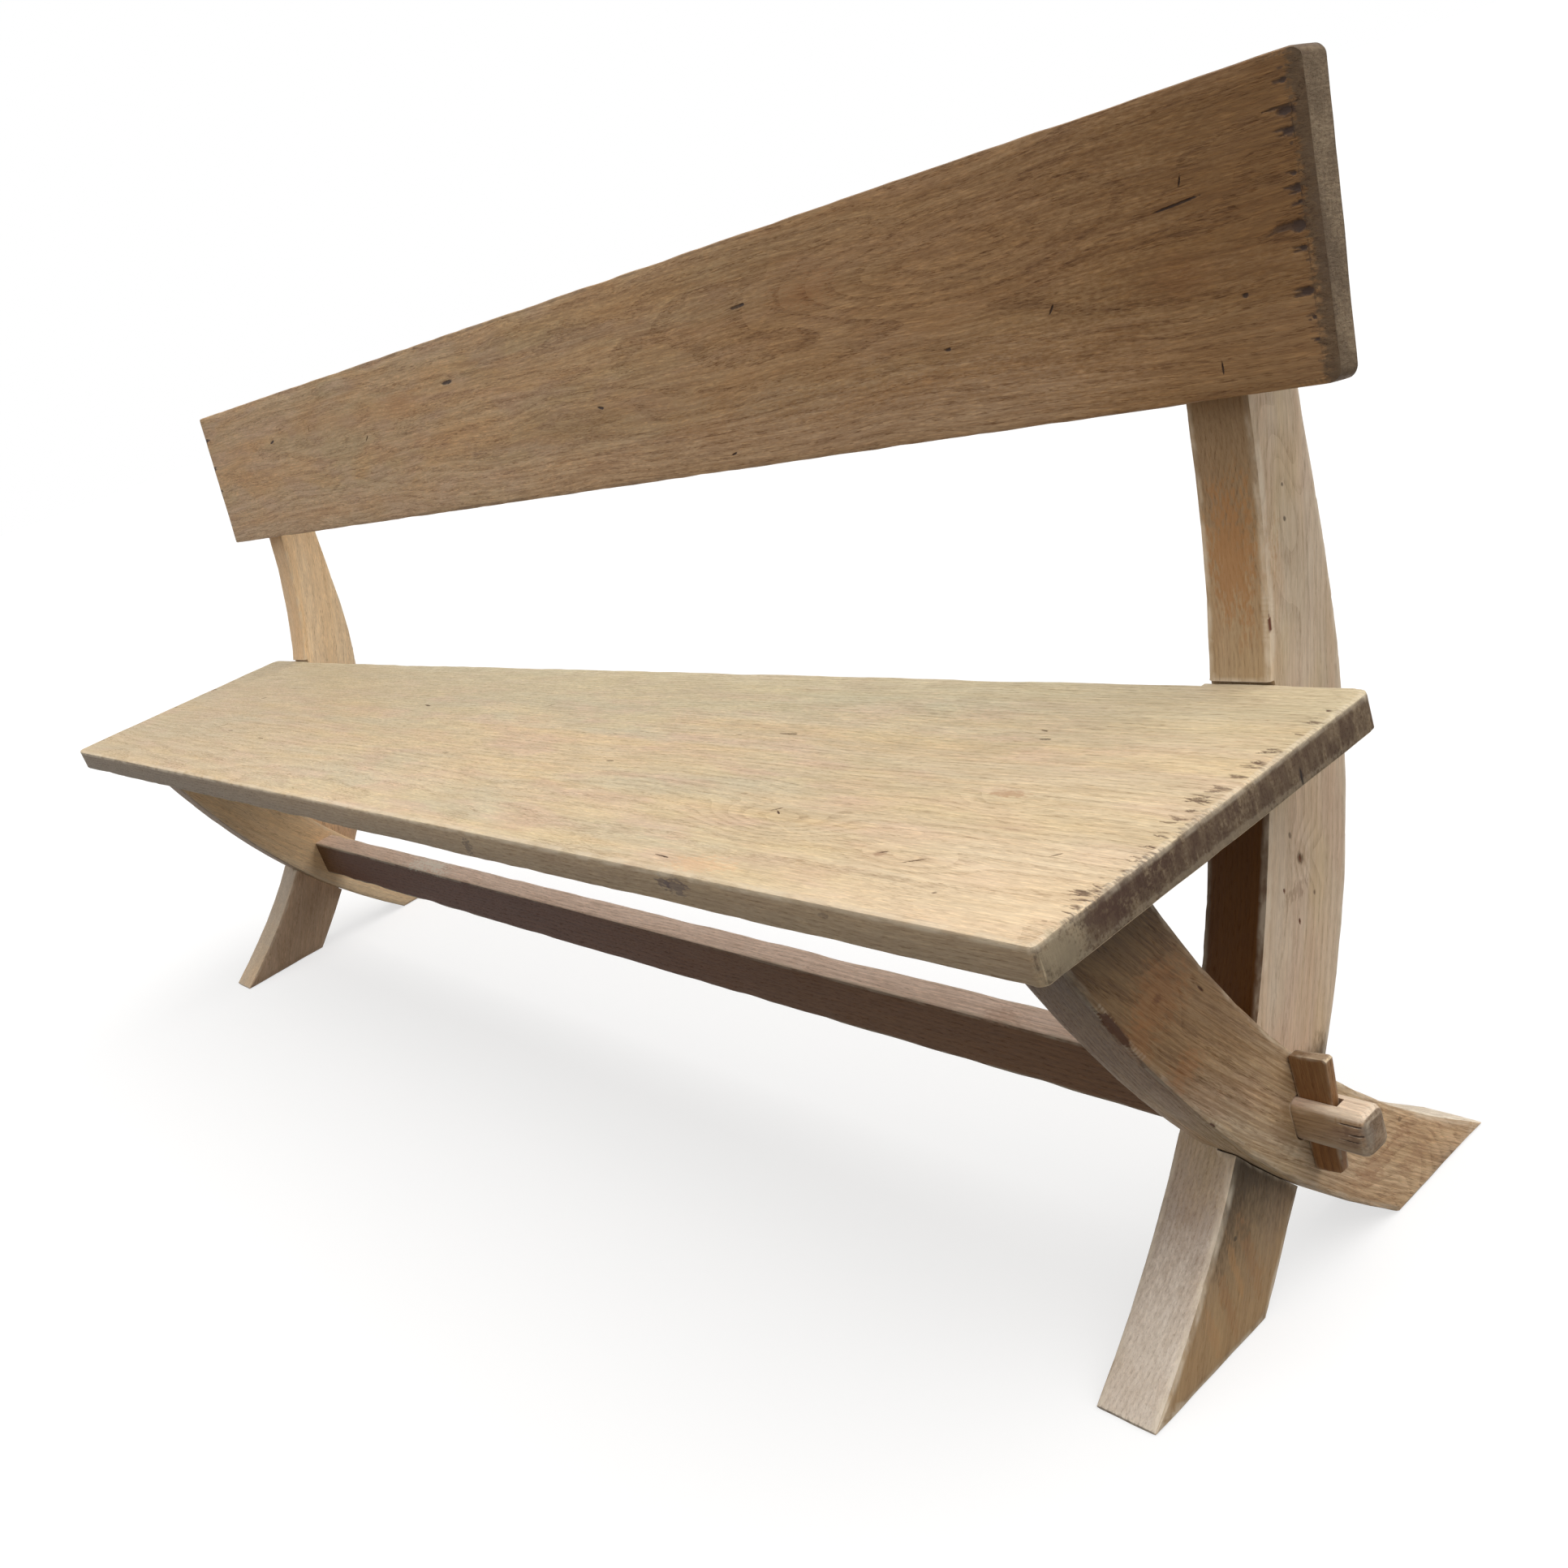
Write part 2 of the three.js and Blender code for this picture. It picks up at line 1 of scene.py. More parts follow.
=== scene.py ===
# %% [markdown]
# # A monks bench in bare oak
#
# The bench is one long seat plank and one raked back plank, held by two end frames. Each frame is a
# curved post and a curved leg that are halved into each other where they cross. A stretcher joins the
# frames. Its tenons go right through them, and a loose wedge in each tenon locks the joint.
#
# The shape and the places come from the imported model, which loads first and stays fixed. This lesson
# gives the oak its look: the grain, the sawn ends, the worn arrises and the marks of use.

# %% Load the fixed frame
import math
import random

import bmesh
import bpy
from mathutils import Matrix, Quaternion, Vector, kdtree, noise


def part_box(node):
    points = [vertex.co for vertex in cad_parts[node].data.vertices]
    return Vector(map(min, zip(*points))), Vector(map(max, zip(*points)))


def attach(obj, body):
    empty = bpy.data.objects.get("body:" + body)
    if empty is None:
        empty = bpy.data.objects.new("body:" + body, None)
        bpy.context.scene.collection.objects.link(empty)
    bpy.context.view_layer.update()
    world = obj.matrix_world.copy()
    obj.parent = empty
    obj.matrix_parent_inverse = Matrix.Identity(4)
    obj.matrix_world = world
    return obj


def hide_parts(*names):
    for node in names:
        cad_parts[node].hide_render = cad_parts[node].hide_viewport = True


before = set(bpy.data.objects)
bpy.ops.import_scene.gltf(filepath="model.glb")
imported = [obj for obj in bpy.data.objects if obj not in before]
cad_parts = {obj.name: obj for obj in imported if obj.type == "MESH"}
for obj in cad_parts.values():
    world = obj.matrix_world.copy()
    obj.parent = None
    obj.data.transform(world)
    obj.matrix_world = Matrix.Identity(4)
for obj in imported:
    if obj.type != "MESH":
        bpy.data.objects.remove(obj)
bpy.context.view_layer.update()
MM = 0.001


def placed(name, data):
    """A new object in the scene."""
    made = bpy.data.objects.new(name, data)
    bpy.context.scene.collection.objects.link(made)
    return made


# %% [markdown]
# ## The camera
#
# The picture was taken from the front right, a little above the back rail, with the camera tilted down
# and rolled clockwise. A camera needs a place, a direction and a roll. The direction is written as two
# angles, because they are easy to read: one round the vertical and one below the horizon. The lens and
# the small shift set how large the bench stands in the square frame.

# %% Place the camera
CAMERA_PLACE = Vector((1.6983, -0.7872, 0.8749))
CAMERA_HEADING = math.radians(147.16)
CAMERA_TILT = math.radians(-19.01)
CAMERA_ROLL = math.radians(-19.64)
LENS = 37.16
SHIFT_X = 0.0044
SHIFT_Y = 0.0081

camera_data = bpy.data.cameras.new("camera")
camera_data.lens = LENS
camera_data.shift_x = SHIFT_X
camera_data.shift_y = SHIFT_Y
camera = placed("camera", camera_data)
sight = Vector((
    math.cos(CAMERA_HEADING) * math.cos(CAMERA_TILT),
    math.sin(CAMERA_HEADING) * math.cos(CAMERA_TILT),
    math.sin(CAMERA_TILT),
))
level = sight.to_track_quat("-Z", "Y")
camera.rotation_mode = "QUATERNION"
camera.rotation_quaternion = level @ Quaternion((0, 0, 1), CAMERA_ROLL)
camera.location = CAMERA_PLACE
bpy.context.scene.camera = camera
bpy.context.scene.view_settings.view_transform = "Standard"
print("camera at", [round(c, 3) for c in camera.location])

# %% [markdown]
# ## Helpers for node materials
#
# A material is a small graph of nodes. Short helpers keep it readable. One adds a node and joins its
# inputs, and a few do maths on values and places with it. One turns a colour as a screen shows it into
# the linear numbers that a shader needs. One stretches a noise, which is how most marks in wood begin,
# and one finishes the surface. Nothing here is about oak yet, so steel can be made with them too.

# %% Node helpers
def tint(red, green, blue):
    """A screen colour, 0 to 255 a channel, as a shader's linear colour."""
    channels = []
    for value in (red, green, blue):
        share = value / 255
        if share <= 0.04045:
            channels.append(share / 12.92)
        else:
            channels.append(((share + 0.055) / 1.055) ** 2.4)
    return (*channels, 1.0)


def add(tree, kind, inputs, **settings):
    """Add a shader node, set its options, and fill or link its inputs."""
    made = tree.nodes.new("ShaderNode" + kind)
    for option, value in settings.items():
        setattr(made, option, value)
    for socket, value in inputs.items():
        if isinstance(value, bpy.types.NodeSocket):
            tree.links.new(value, made.inputs[socket])
        else:
            made.inputs[socket].default_value = value
    return made


def empty_material(name):
    """A material with a tree that holds nothing yet."""
    material = bpy.data.materials.new(name)
    material.use_nodes = True
    material.node_tree.nodes.clear()
    return material, material.node_tree


def maths(tree, operation, first, second):
    """Plain maths on two values."""
    return add(tree, "Math", {0: first, 1: second}, operation=operation).outputs[0]


def times(tree, first, second):
    """The product of two values."""
    return maths(tree, "MULTIPLY", first, second)


def plus(tree, first, second):
    """The sum of two values."""
    return maths(tree, "ADD", first, second)


def vector(tree, operation, first, second=(0.0, 0.0, 0.0)):
    """Vector maths. A length and a dot product come out as one value."""
    made = add(tree, "VectorMath", {0: first, 1: second}, operation=operation)
    return made.outputs["Value" if operation in ("LENGTH", "DOT_PRODUCT") else "Vector"]


def step(tree, value, start, stop, low=0.0, high=1.0):
    """A soft step: low where the value is under start, high where it is over stop."""
    inputs = {"Value": value, "From Min": start, "From Max": stop, "To Min": low, "To Max": high}
    return add(tree, "MapRange", inputs, interpolation_type="SMOOTHSTEP").outputs["Result"]


def blend(tree, share, first, second):
    """The first colour, going over to the second as the share goes from 0 to 1."""
    made = add(tree, "Mix", {}, data_type="RGBA")
    for socket, value in ((made.inputs[0], share), (made.inputs[6], first), (made.inputs[7], second)):
        if isinstance(value, bpy.types.NodeSocket):
            tree.links.new(value, socket)
        else:
            socket.default_value = value
    return made.outputs[2]


def tinted(tree, share, colour, by):
    """A colour multiplied by another one as the share goes from 0 to 1."""
    made = add(tree, "Mix", {}, data_type="RGBA", blend_type="MULTIPLY")
    for socket, value in ((made.inputs[0], share), (made.inputs[6], colour)):
        tree.links.new(value, socket)
    made.inputs[7].default_value = (*by, 1.0)
    return made.outputs[2]


def surface(tree, height, strength, distance, inputs):
    """Finish a material: a surface with these inputs, and with a bump that follows a height."""
    bump = add(tree, "Bump", {"Height": height, "Strength": strength, "Distance": distance}).outputs[0]
    shader = add(tree, "BsdfPrincipled", {"Normal": bump, **inputs})
    add(tree, "OutputMaterial", {"Surface": shader.outputs[0]})


def streaks(tree, place, per_metre, detail, offset=(0.0, 0.0, 0.0)):
    """Noise that is stretched: per_metre says how often it changes along, across and through."""
    scaled = vector(tree, "MULTIPLY", vector(tree, "ADD", place, offset), per_metre)
    return add(tree, "TexNoise", {"Vector": scaled, "Scale": 1.0, "Detail": detail}).outputs["Fac"]


print("node helpers are ready")

# %% [markdown]
# ## The floor
#
# The bench stands on a plain white floor that runs out into a white background. White paint would do
# for it, but a bright floor would also light the underside of the seat, which is dark on the real
# bench. So the floor looks white to the camera and keeps a pale shadow, and throws back only as much
# light as a dark one.

# %% Floor
FLOOR_WIDTH = 60.0
FLOOR_WHITE = (0.36, 0.36, 0.36, 1.0)
FLOOR_BOUNCE = (0.15, 0.15, 0.15, 1.0)
FLOOR_GLOW = 0.67


def seen_directly(tree):
    """1 for what the camera sees, also in a reflection or through glass."""
    path = add(tree, "LightPath", {}).outputs
    seen = maths(tree, "MAXIMUM", path["Is Camera Ray"], path["Is Glossy Ray"])
    return maths(tree, "MAXIMUM", seen, path["Is Transmission Ray"])


floor_material, tree = empty_material("floor_white")
direct = seen_directly(tree)
floor_colour = blend(tree, direct, FLOOR_BOUNCE, FLOOR_WHITE)
floor_shader = add(tree, "BsdfDiffuse", {"Color": floor_colour})
floor_glow = add(tree, "Emission", {"Strength": times(tree, direct, FLOOR_GLOW)})
floor_both = add(tree, "AddShader", {0: floor_shader.outputs[0], 1: floor_glow.outputs[0]})
add(tree, "OutputMaterial", {"Surface": floor_both.outputs[0]})

floor_mesh = bmesh.new()
bmesh.ops.create_grid(floor_mesh, x_segments=4, y_segments=4, size=FLOOR_WIDTH / 2)
floor_data = bpy.data.meshes.new("floor")
floor_mesh.to_mesh(floor_data)
floor_mesh.free()
floor_data.materials.append(floor_material)
floor = placed("floor", floor_data)
print("floor faces:", len(floor_data.polygons))

# %% [markdown]
# ## The light
#
# The light is soft and comes mostly from above and behind the right end. Lamps beside the bench would
# light its near end more than its far one, so all of it comes from far away: a wide sun, like a bright
# patch of cloud, two weak ones from the front left and the front right, and a sky that is dim at the
# horizon and brighter overhead. Together they light a level surface so that a colour shows about as
# it is written.

# %% Light
SKY = (1.0, 0.99, 0.98, 1.0)
SKY_LOW = 0.04
SKY_HIGH = 0.52
# Each sun: where from, strength on a surface that faces it, spread in degrees, colour
SUNS = {
    "cloud": ((0.45, 0.33, 0.83), 0.73, 70, (1.0, 0.985, 0.965)),
    "fill": ((-0.35, -0.5, 0.79), 0.17, 60, (1.0, 0.98, 0.95)),
    "side": ((0.72, -0.58, 0.38), 0.11, 60, (1.0, 0.98, 0.95)),
}

world = bpy.data.worlds.new("studio")
world.use_nodes = True
world.node_tree.nodes.clear()
bpy.context.scene.world = world
tree = world.node_tree
backdrop = add(tree, "Background", {"Color": (1.0, 1.0, 1.0, 1.0), "Strength": 1.0})
height = add(tree, "SeparateXYZ", {0: add(tree, "TexCoord", {}).outputs["Generated"]}).outputs["Z"]
sky = add(tree, "Background", {"Color": SKY, "Strength": step(tree, height, -0.1, 1.0, SKY_LOW, SKY_HIGH)})
either = add(tree, "MixShader", {0: seen_directly(tree), 1: sky.outputs[0], 2: backdrop.outputs[0]})
add(tree, "OutputWorld", {"Surface": either.outputs[0]})

for name, (come_from, strength, spread, colour) in SUNS.items():
    sun_data = bpy.data.lights.new(name, "SUN")
    sun_data.energy = strength * math.pi
    sun_data.color = colour
    sun_data.angle = math.radians(spread)
    sun = placed(name, sun_data)
    sun.rotation_mode = "QUATERNION"
    sun.rotation_quaternion = Vector(come_from).to_track_quat("Z", "Y")
    print(name, "sun from", come_from)

# %% [markdown]
# ## The oak itself
#
# Sawn oak shows four things at once. The yearly rings are shells round the tree's heart, so they make
# long lines on a face, tall arches where a face just grazes them, and arcs on an end. The open pores
# are short dark dashes along the grain. Broad soft bands drift from pale to warm. And use leaves its
# own layer: rubbed pale arrises, grey dirt on the end grain, dark torn spots.
#
# All of it could be painted on a picture, but a picture has to be wrapped round each piece. Here the
# pattern fills space instead: every piece carries its own grain places, measured along, across and
# through the timber, and the material reads them. The rings then meet at each arris as they do in wood.

# %% The oak's marks
# Each kind of mark: how often it changes in a metre along the grain, across it and through it, unless
# a piece says so itself; the detail of its noise; and where in the noise it starts and is whole
MARKS = {
    "fibre": ((11.0, 420.0, 420.0), 3.0, (0.42, 0.62)),
    "pore": ((130.0, 1700.0, 1700.0), 2.0, (0.5, 0.66)),
    "dash": ((55.0, 620.0, 620.0), 3.0, (0.5, 0.66)),
    "fleck": ((65.0, 780.0, 780.0), 3.0, (0.5, 0.66)),
    "band": ((0.8, 34.0, 34.0), 3.0, (0.36, 0.66)),
    "grit": ((150.0, 420.0, 420.0), 4.0, (0.34, 0.66)),
    "speck": ((420.0, 420.0, 420.0), 3.0, (0.5, 0.68)),
    "mottle": (None, 4.0, (0.38, 0.62)),
    "cloud": (None, 3.0, (0.46, 0.64)),
    "saw": (None, 3.0, (0.36, 0.64)),
    "dirt": (None, 5.0, (0.4, 0.6)),
}
WANDER_LENGTHS = (2.6, 9.0, 9.0)
RUB_LENGTHS = (40.0, 90.0, 90.0)
# Where in a year's ring the open early wood starts and is whole, and how crowded the marks are out of it
EARLY_WOOD = (0.3, 1.0)
LATE_CROWD = 0.45
RING_SQUEEZE = 0.14
RING_BEND = 2.4
END_RING_SHARE = 0.12
SAW_SHARE = 0.6
# How squarely the fibres meet a surface before it counts as a sawn end
END_FACED = (0.62, 0.9)
# Where in the rub noise an arris is rubbed, and a scar is at its darkest
RUB_STARTS = (0.34, 0.62)
SCAR_DEEPENS = (0.3, 0.5)
SCAR_SHARES = (0.8, 1.0)
# What stands up and what sinks in, as shares of the bump
RELIEF = {"pore": -0.5, "dash": -0.4, "mottle": 0.6, "saw": 1.0}
BUMP_STRENGTH = 0.5
BUMP_DEPTH = 0.4 * MM
# How much clouds and grit make the limit of a zone ragged
LOOSE_CLOUDS = 0.4
LOOSE_GRIT = 0.8
LOOSE_MIDDLE = -0.6
# What each kind of mark multiplies the colour of the wood by
LINE_TINT = (0.42, 0.32, 0.24)
MARK_TINTS = {
    "mottle": (0.6, 0.5, 0.4), "ring": LINE_TINT, "fibre": (0.62, 0.54, 0.46),
    "fleck": (1.34, 1.32, 1.27), "dash": LINE_TINT, "pore": LINE_TINT,
}
WAVE_TURNS = 20.0
BARE_GLOSS = 0.28
DRY_ROUGH = 0.85
# How squarely a surface looks one way before a zone starts to hold there, and before it holds fully
FACED = (0.4, 0.8)


def mark(tree, kind, place, offset, lengths=None):
    """One kind of mark in the oak, as a share from 0 to 1."""
    own_lengths, detail, limits = MARKS[kind]
    return step(tree, streaks(tree, place, lengths or own_lengths, detail, offset), *limits)


print("kinds of mark:", len(MARKS))

# %% [markdown]
# ## Places of colour
#
# A real bench is not one colour all over. The feet are pale, partly as painted light, and a knot leaves
# a ring of stain. Some colours here are painted light and shade: faces under the seat and faces that
# turn from the light are painted darker, and a few upper faces are painted lighter. Two helpers say
# where such a colour holds. One is round and fades out from a point. The other is a zone with soft or
# ragged limits along the bench's axes, and it can keep to the faces that look one way. Both give a
# share from 0 to 1, which then blends a colour in.

# %% Nearness and zones
def nearness(tree, place, centre, size, loose=0.0, core=0.35):
    """1 at a centre in the bench, falling softly to 0 at a distance of size, which is given in mm."""
    away = vector(tree, "SUBTRACT", place, [c * MM for c in centre])
    scaled = vector(tree, "MULTIPLY", away, [1 / (s * MM) for s in size])
    return step(tree, plus(tree, vector(tree, "LENGTH", scaled), loose), 1.0, core)


def zone(share, colour, *steps, facing=None):
    """A part of a piece that has a colour of its own, or painted light or shade. Each step is an axis,
    start, stop and raggedness.
    """
    return share, tint(*colour), steps, facing


def zone_share(tree, share, steps, facing, place, normal, loose):
    """How far a zone holds: the product of its steps along the bench's axes and of its facing."""
    held = 1.0
    axes = add(tree, "SeparateXYZ", {0: place}).outputs
    for axis, start, stop, ragged in steps:
        along = plus(tree, axes[axis], times(tree, loose, ragged))
        held = times(tree, held, step(tree, along, start, stop))
    if facing:
        held = times(tree, held, step(tree, vector(tree, "DOT_PRODUCT", normal, facing), *FACED))
    return times(tree, held, share)


print("nearness and zones are ready")

# %% [markdown]
# ## The yearly rings
#
# Each year adds a shell round the tree's heart, and its open early wood shows as a line wherever the saw
# went through it. Lines could be drawn on each face, but they would not meet at the arrises. So the
# distance from the heart is measured in space, and bands follow it. Where a branch once grew, the
# shells are pushed outwards.

# %% Rings
def yearly_rings(tree, look, bent, place):
    """The open early wood of each year, as a share from 0 to 1."""
    apart = add(tree, "SeparateXYZ", {0: vector(tree, "SUBTRACT", bent, look["heart"])}).outputs
    tapered = times(tree, apart["X"], look["taper"])
    flat = add(tree, "CombineXYZ", {"X": tapered, "Y": apart["Y"], "Z": apart["Z"]}).outputs[0]
    shell = vector(tree, "LENGTH", flat)
    for centre, size, rise in look["swells"]:
        swell = nearness(tree, place, centre, size, core=0.0)
        shell = plus(tree, shell, times(tree, swell, rise * MM))
    squeezed = times(tree, apart["X"], RING_SQUEEZE)
    ring_place = add(tree, "CombineXYZ", {"X": shell, "Y": squeezed, "Z": apart["Y"]}).outputs[0]
    rings = add(tree, "TexWave", {
        "Vector": ring_place,
        "Scale": 2 * math.pi / WAVE_TURNS / look["ring"],
        "Distortion": RING_BEND,
        "Detail": 3.0,
        "Detail Scale": 0.6,
    }, wave_type="BANDS", bands_direction="X", wave_profile="SAW").outputs["Fac"]
    return step(tree, rings, *EARLY_WOOD)


print("rings follow the distance from the heart")

# %% [markdown]
# ## The small marks
#
# Fibres, pores, longer dashes and pale flecks all lie along the grain, and soft mottles lie over them.
# One noise for all of them would give one size of mark. So each kind is a noise of its own, stretched
# as it is on real oak, and pores and dashes crowd together in the early wood.

# %% Small marks
def small_marks(tree, look, bent, early):
    """Every kind of mark that a face shows, each as a share from 0 to 1."""
    seed = look["seed"]
    crowd = step(tree, early, 0.0, 1.0, LATE_CROWD, 1.0)
    return {
        "mottle": mark(tree, "mottle", bent, (seed, 0.0, 0.0), look["mottle"]),
        "ring": early,
        "fibre": mark(tree, "fibre", bent, (seed, seed, seed)),
        "fleck": mark(tree, "fleck", bent, (0.0, seed, 0.0)),
        "dash": times(tree, mark(tree, "dash", bent, (seed, 0.0, seed)), crowd),
        "pore": times(tree, mark(tree, "pore", bent, (seed, 0.0, 0.0)), crowd),
    }


def looseness(tree, look, grain, mottles):
    """What makes the limits of zones and stains ragged."""
    seed = look["seed"]
    grit = mark(tree, "grit", grain, (0.0, seed, seed))
    gritty = plus(tree, times(tree, grit, LOOSE_GRIT), LOOSE_MIDDLE)
    return plus(tree, times(tree, mottles, LOOSE_CLOUDS), gritty)


print("small marks are ready")

# %% [markdown]
# ## The colour of faces and ends
#
# A face goes softly from a pale ground to a warm one, in bands, with clouds of other tones. A sawn end
# is darker, because open pores drink dirt, and it shows the teeth of the saw. One colour with a darker
# picture on the ends would do from afar. Here each is built up on its own, in the order in which the
# tree, the saw and the weather made it, so that any share can be changed without the others.

# %% Faces and ends
def face_colour(tree, look, shown, bent, place, normal, loose):
    """The colour of the faces: bands, clouds and zones, with the small marks over them."""
    seed = look["seed"]
    bands = mark(tree, "band", bent, (seed, seed, 0.0))
    colour = blend(tree, bands, look["ground"], look["warm"])
    for lengths, offset, share, tone in look["tones"]:
        cloud = mark(tree, "cloud", bent, (offset, seed, seed), lengths)
        colour = blend(tree, times(tree, cloud, share), colour, tint(*tone))
    # Zones give the wood's own tones, and also painted light and shade
    for share, tone, steps, facing in look["zones"]:
        held = zone_share(tree, share, steps, facing, place, normal, loose)
        colour = blend(tree, held, colour, tone)
    shares = {kind: look[kind + "_share"] for kind in shown}
    for centre, size, extra in look["figure"]:
        near = nearness(tree, place, centre, size)
        shares["ring"] = plus(tree, times(tree, near, extra), shares["ring"])
    for kind, by in MARK_TINTS.items():
        colour = tinted(tree, times(tree, shown[kind], shares[kind]), colour, by)
    return colour


def end_colour(tree, look, grain, early):
    """The colour of the sawn ends, and the marks that the saw left on them."""
    seed = look["seed"]
    saw = mark(tree, "saw", grain, (0.0, seed, 0.0), look["saw"])
    dirt = mark(tree, "dirt", grain, (seed, 0.0, 0.0), look["dirt"])
    specks = mark(tree, "speck", grain, (seed, 0.0, 0.0))
    colour = blend(tree, times(tree, saw, SAW_SHARE), look["end"], look["end_pale"])
    colour = blend(tree, times(tree, dirt, look["dirt_share"]), colour, look["end_dark"])
    colour = tinted(tree, times(tree, specks, look["speck_share"]), colour, LINE_TINT)
    colour = tinted(tree, times(tree, early, END_RING_SHARE), colour, LINE_TINT)
    return colour, saw


print("faces and ends have their colours")

# %% [markdown]
# ## The marks of use, and the whole recipe
#
# Use comes last: stains in their own places, arrises that hands have rubbed pale, and dark dirt where
# the wood is torn. Rubbing on every arris alike would look like a drawn outline, so a noise breaks it
# up. The recipe then puts all of it together. Each piece hands in a look, which is a list of its own
# values, so one recipe gives eight different timbers.

# %% The oak material
def used_colour(tree, look, colour, grain, place, arris, scar, loose):
    """A colour with its stains, its rubbed arrises and the dirt in torn places."""
    for centre, size, share, ragged, tone in look["spots"]:
        spot = nearness(tree, place, centre, size, times(tree, loose, ragged))
        colour = blend(tree, times(tree, spot, share), colour, tint(*tone))
    rub = streaks(tree, grain, RUB_LENGTHS, 3.0, (look["seed"], 0.0, look["seed"]))
    near = step(tree, arris, look["rub_width"], 0.0)
    rubbed = times(tree, near, step(tree, rub, *RUB_STARTS, look["rub_low"], look["rub_high"]))
    above = step(tree, add(tree, "SeparateXYZ", {0: place}).outputs["Z"], *look["rub_above"])
    colour = blend(tree, times(tree, rubbed, above), colour, look["rub"])
    torn = times(tree, scar, step(tree, rub, *SCAR_DEEPENS, *SCAR_SHARES))
    return blend(tree, torn, colour, look["scar"])


def oak(name, look):
    """Oak in one piece's own colours and figure."""
    material, tree = empty_material(name)
    grain = add(tree, "Attribute", {}, attribute_name="grain").outputs["Vector"]
    arris = add(tree, "Attribute", {}, attribute_name="arris").outputs["Fac"]
    end = add(tree, "Attribute", {}, attribute_name="end").outputs["Fac"]
    scar = add(tree, "Attribute", {}, attribute_name="scar").outputs["Fac"]
    coordinates = add(tree, "TexCoord", {}).outputs
    place = coordinates["Object"]

    # The fibres never run quite straight
    wander_place = vector(tree, "MULTIPLY", grain, WANDER_LENGTHS)
    wander = add(tree, "TexNoise", {"Vector": wander_place, "Scale": 1.0, "Detail": 2.0}).outputs["Color"]
    centred = vector(tree, "SUBTRACT", wander, (0.5, 0.5, 0.5))
    shift = vector(tree, "MULTIPLY", centred, (0.0, look["sway"], look["sway"]))
    bent = vector(tree, "ADD", grain, shift)

    early = yearly_rings(tree, look, bent, place)
    shown = small_marks(tree, look, bent, early)
    loose = looseness(tree, look, grain, shown["mottle"])
    faces = face_colour(tree, look, shown, bent, place, coordinates["Normal"], loose)
    ends, saw = end_colour(tree, look, grain, early)
    end_mask = step(tree, end, *END_FACED)
    colour = blend(tree, end_mask, faces, ends)
    colour = used_colour(tree, look, colour, grain, place, arris, scar, loose)

    # A dry surface: the pores and the saw marks also catch the light
    raised = {**shown, "saw": times(tree, saw, end_mask)}
    height = 0.0
    for kind, amount in RELIEF.items():
        height = plus(tree, height, times(tree, raised[kind], amount))
    rough = step(tree, shown["pore"], 0.0, 1.0, look["rough"], DRY_ROUGH)
    rough = blend(tree, end_mask, rough, (DRY_ROUGH, DRY_ROUGH, DRY_ROUGH, 1.0))
    surface(tree, height, BUMP_STRENGTH, BUMP_DEPTH, {
        "Base Color": colour, "Roughness": rough, "Specular IOR Level": BARE_GLOSS,
    })
    return material


print("the oak recipe is ready")

# %% [markdown]
# ## What most pieces share
#
# Each piece could have a full list of values, but then it would be hard to see what sets it apart. So
# the values that most pieces have in common are written once. A piece starts from them and changes a
# few.

# %% The common look
# The ways that a zone can face. A curved leg has a side that looks forward and down, and one up and back.
FORWARD = (0.0, -1.0, 0.0)
UPWARD = (0.0, 0.0, 1.0)
RIGHTWARD = (1.0, 0.0, 0.0)
FRONT_DOWN = (0.0, -0.8, -0.6)
REAR_UP = (0.0, 0.6, 0.8)
# What most pieces share; each piece changes some of it
COMMON_LOOK = {
    "seed": 0.0, "sway": 0.02, "heart": (0.0, 0.0, -0.12), "taper": 0.02, "ring": 0.0032,
    "swells": (), "figure": (), "zones": (), "spots": (), "mottle": (24.0, 70.0, 70.0),
    "ground": tint(205, 178, 146), "warm": tint(214, 182, 140),
    # Clouds of colour: how often they change, where they start, share, colour
    "tones": (
        ((3.0, 11.0, 11.0), 0.0, 0.45, (190, 176, 152)),
        ((8.0, 26.0, 26.0), 5.0, 0.3, (212, 178, 156)),
        ((6.0, 20.0, 20.0), 9.0, 0.3, (214, 186, 134)),
    ),
    "mottle_share": 0.12, "ring_share": 0.12, "fibre_share": 0.35, "fleck_share": 0.5,
    "dash_share": 0.36, "pore_share": 0.5,
    "end": tint(150, 126, 104), "end_dark": tint(92, 72, 56), "end_pale": tint(176, 156, 132),
    "dirt_share": 0.6, "dirt": (40.0, 40.0, 40.0), "speck_share": 0.45, "saw": (60.0, 60.0, 420.0),
    "rub": tint(222, 206, 182), "rub_width": 0.0026, "rub_low": 0.05, "rub_high": 0.5,
    "rub_above": (-1.0, -0.9),
    "scar": tint(66, 48, 38), "rough": 0.58,
}
print("oak recipe with", len(COMMON_LOOK), "values")

# %% [markdown]
# ## A copy of each timber
#
# Each plank and beam could be modelled again, but its joints would then have to be matched. So each
# starts as a copy of its node in the frame, and its size and joints are right from the start. The
# node's triangles are loose, so they are joined first, and flat neighbours are merged. The sharp edges
# of this clean copy are noted, because wear follows them.

# %% Copy
X = Vector((1.0, 0.0, 0.0))
Y = Vector((0.0, 1.0, 0.0))
Z = Vector((0.0, 0.0, 1.0))
WELD = 0.00002
FLAT = math.radians(0.6)
SHARP = math.radians(10)
SHADE_SHARP = math.radians(38)
SAMPLE_STEP = 0.004


def timber_copy(node):
    """A node's mesh as one closed body with its flat faces merged."""
    mesh = bmesh.new()
    mesh.from_mesh(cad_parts[node].data)
    bmesh.ops.remove_doubles(mesh, verts=mesh.verts, dist=WELD)
    bmesh.ops.dissolve_limit(mesh, angle_limit=FLAT, verts=mesh.verts, edges=mesh.edges)
    mesh.verts.layers.float_vector.new("grain")
    for layer in ("arris", "end", "scar"):
        mesh.verts.layers.float.new(layer)
    return mesh


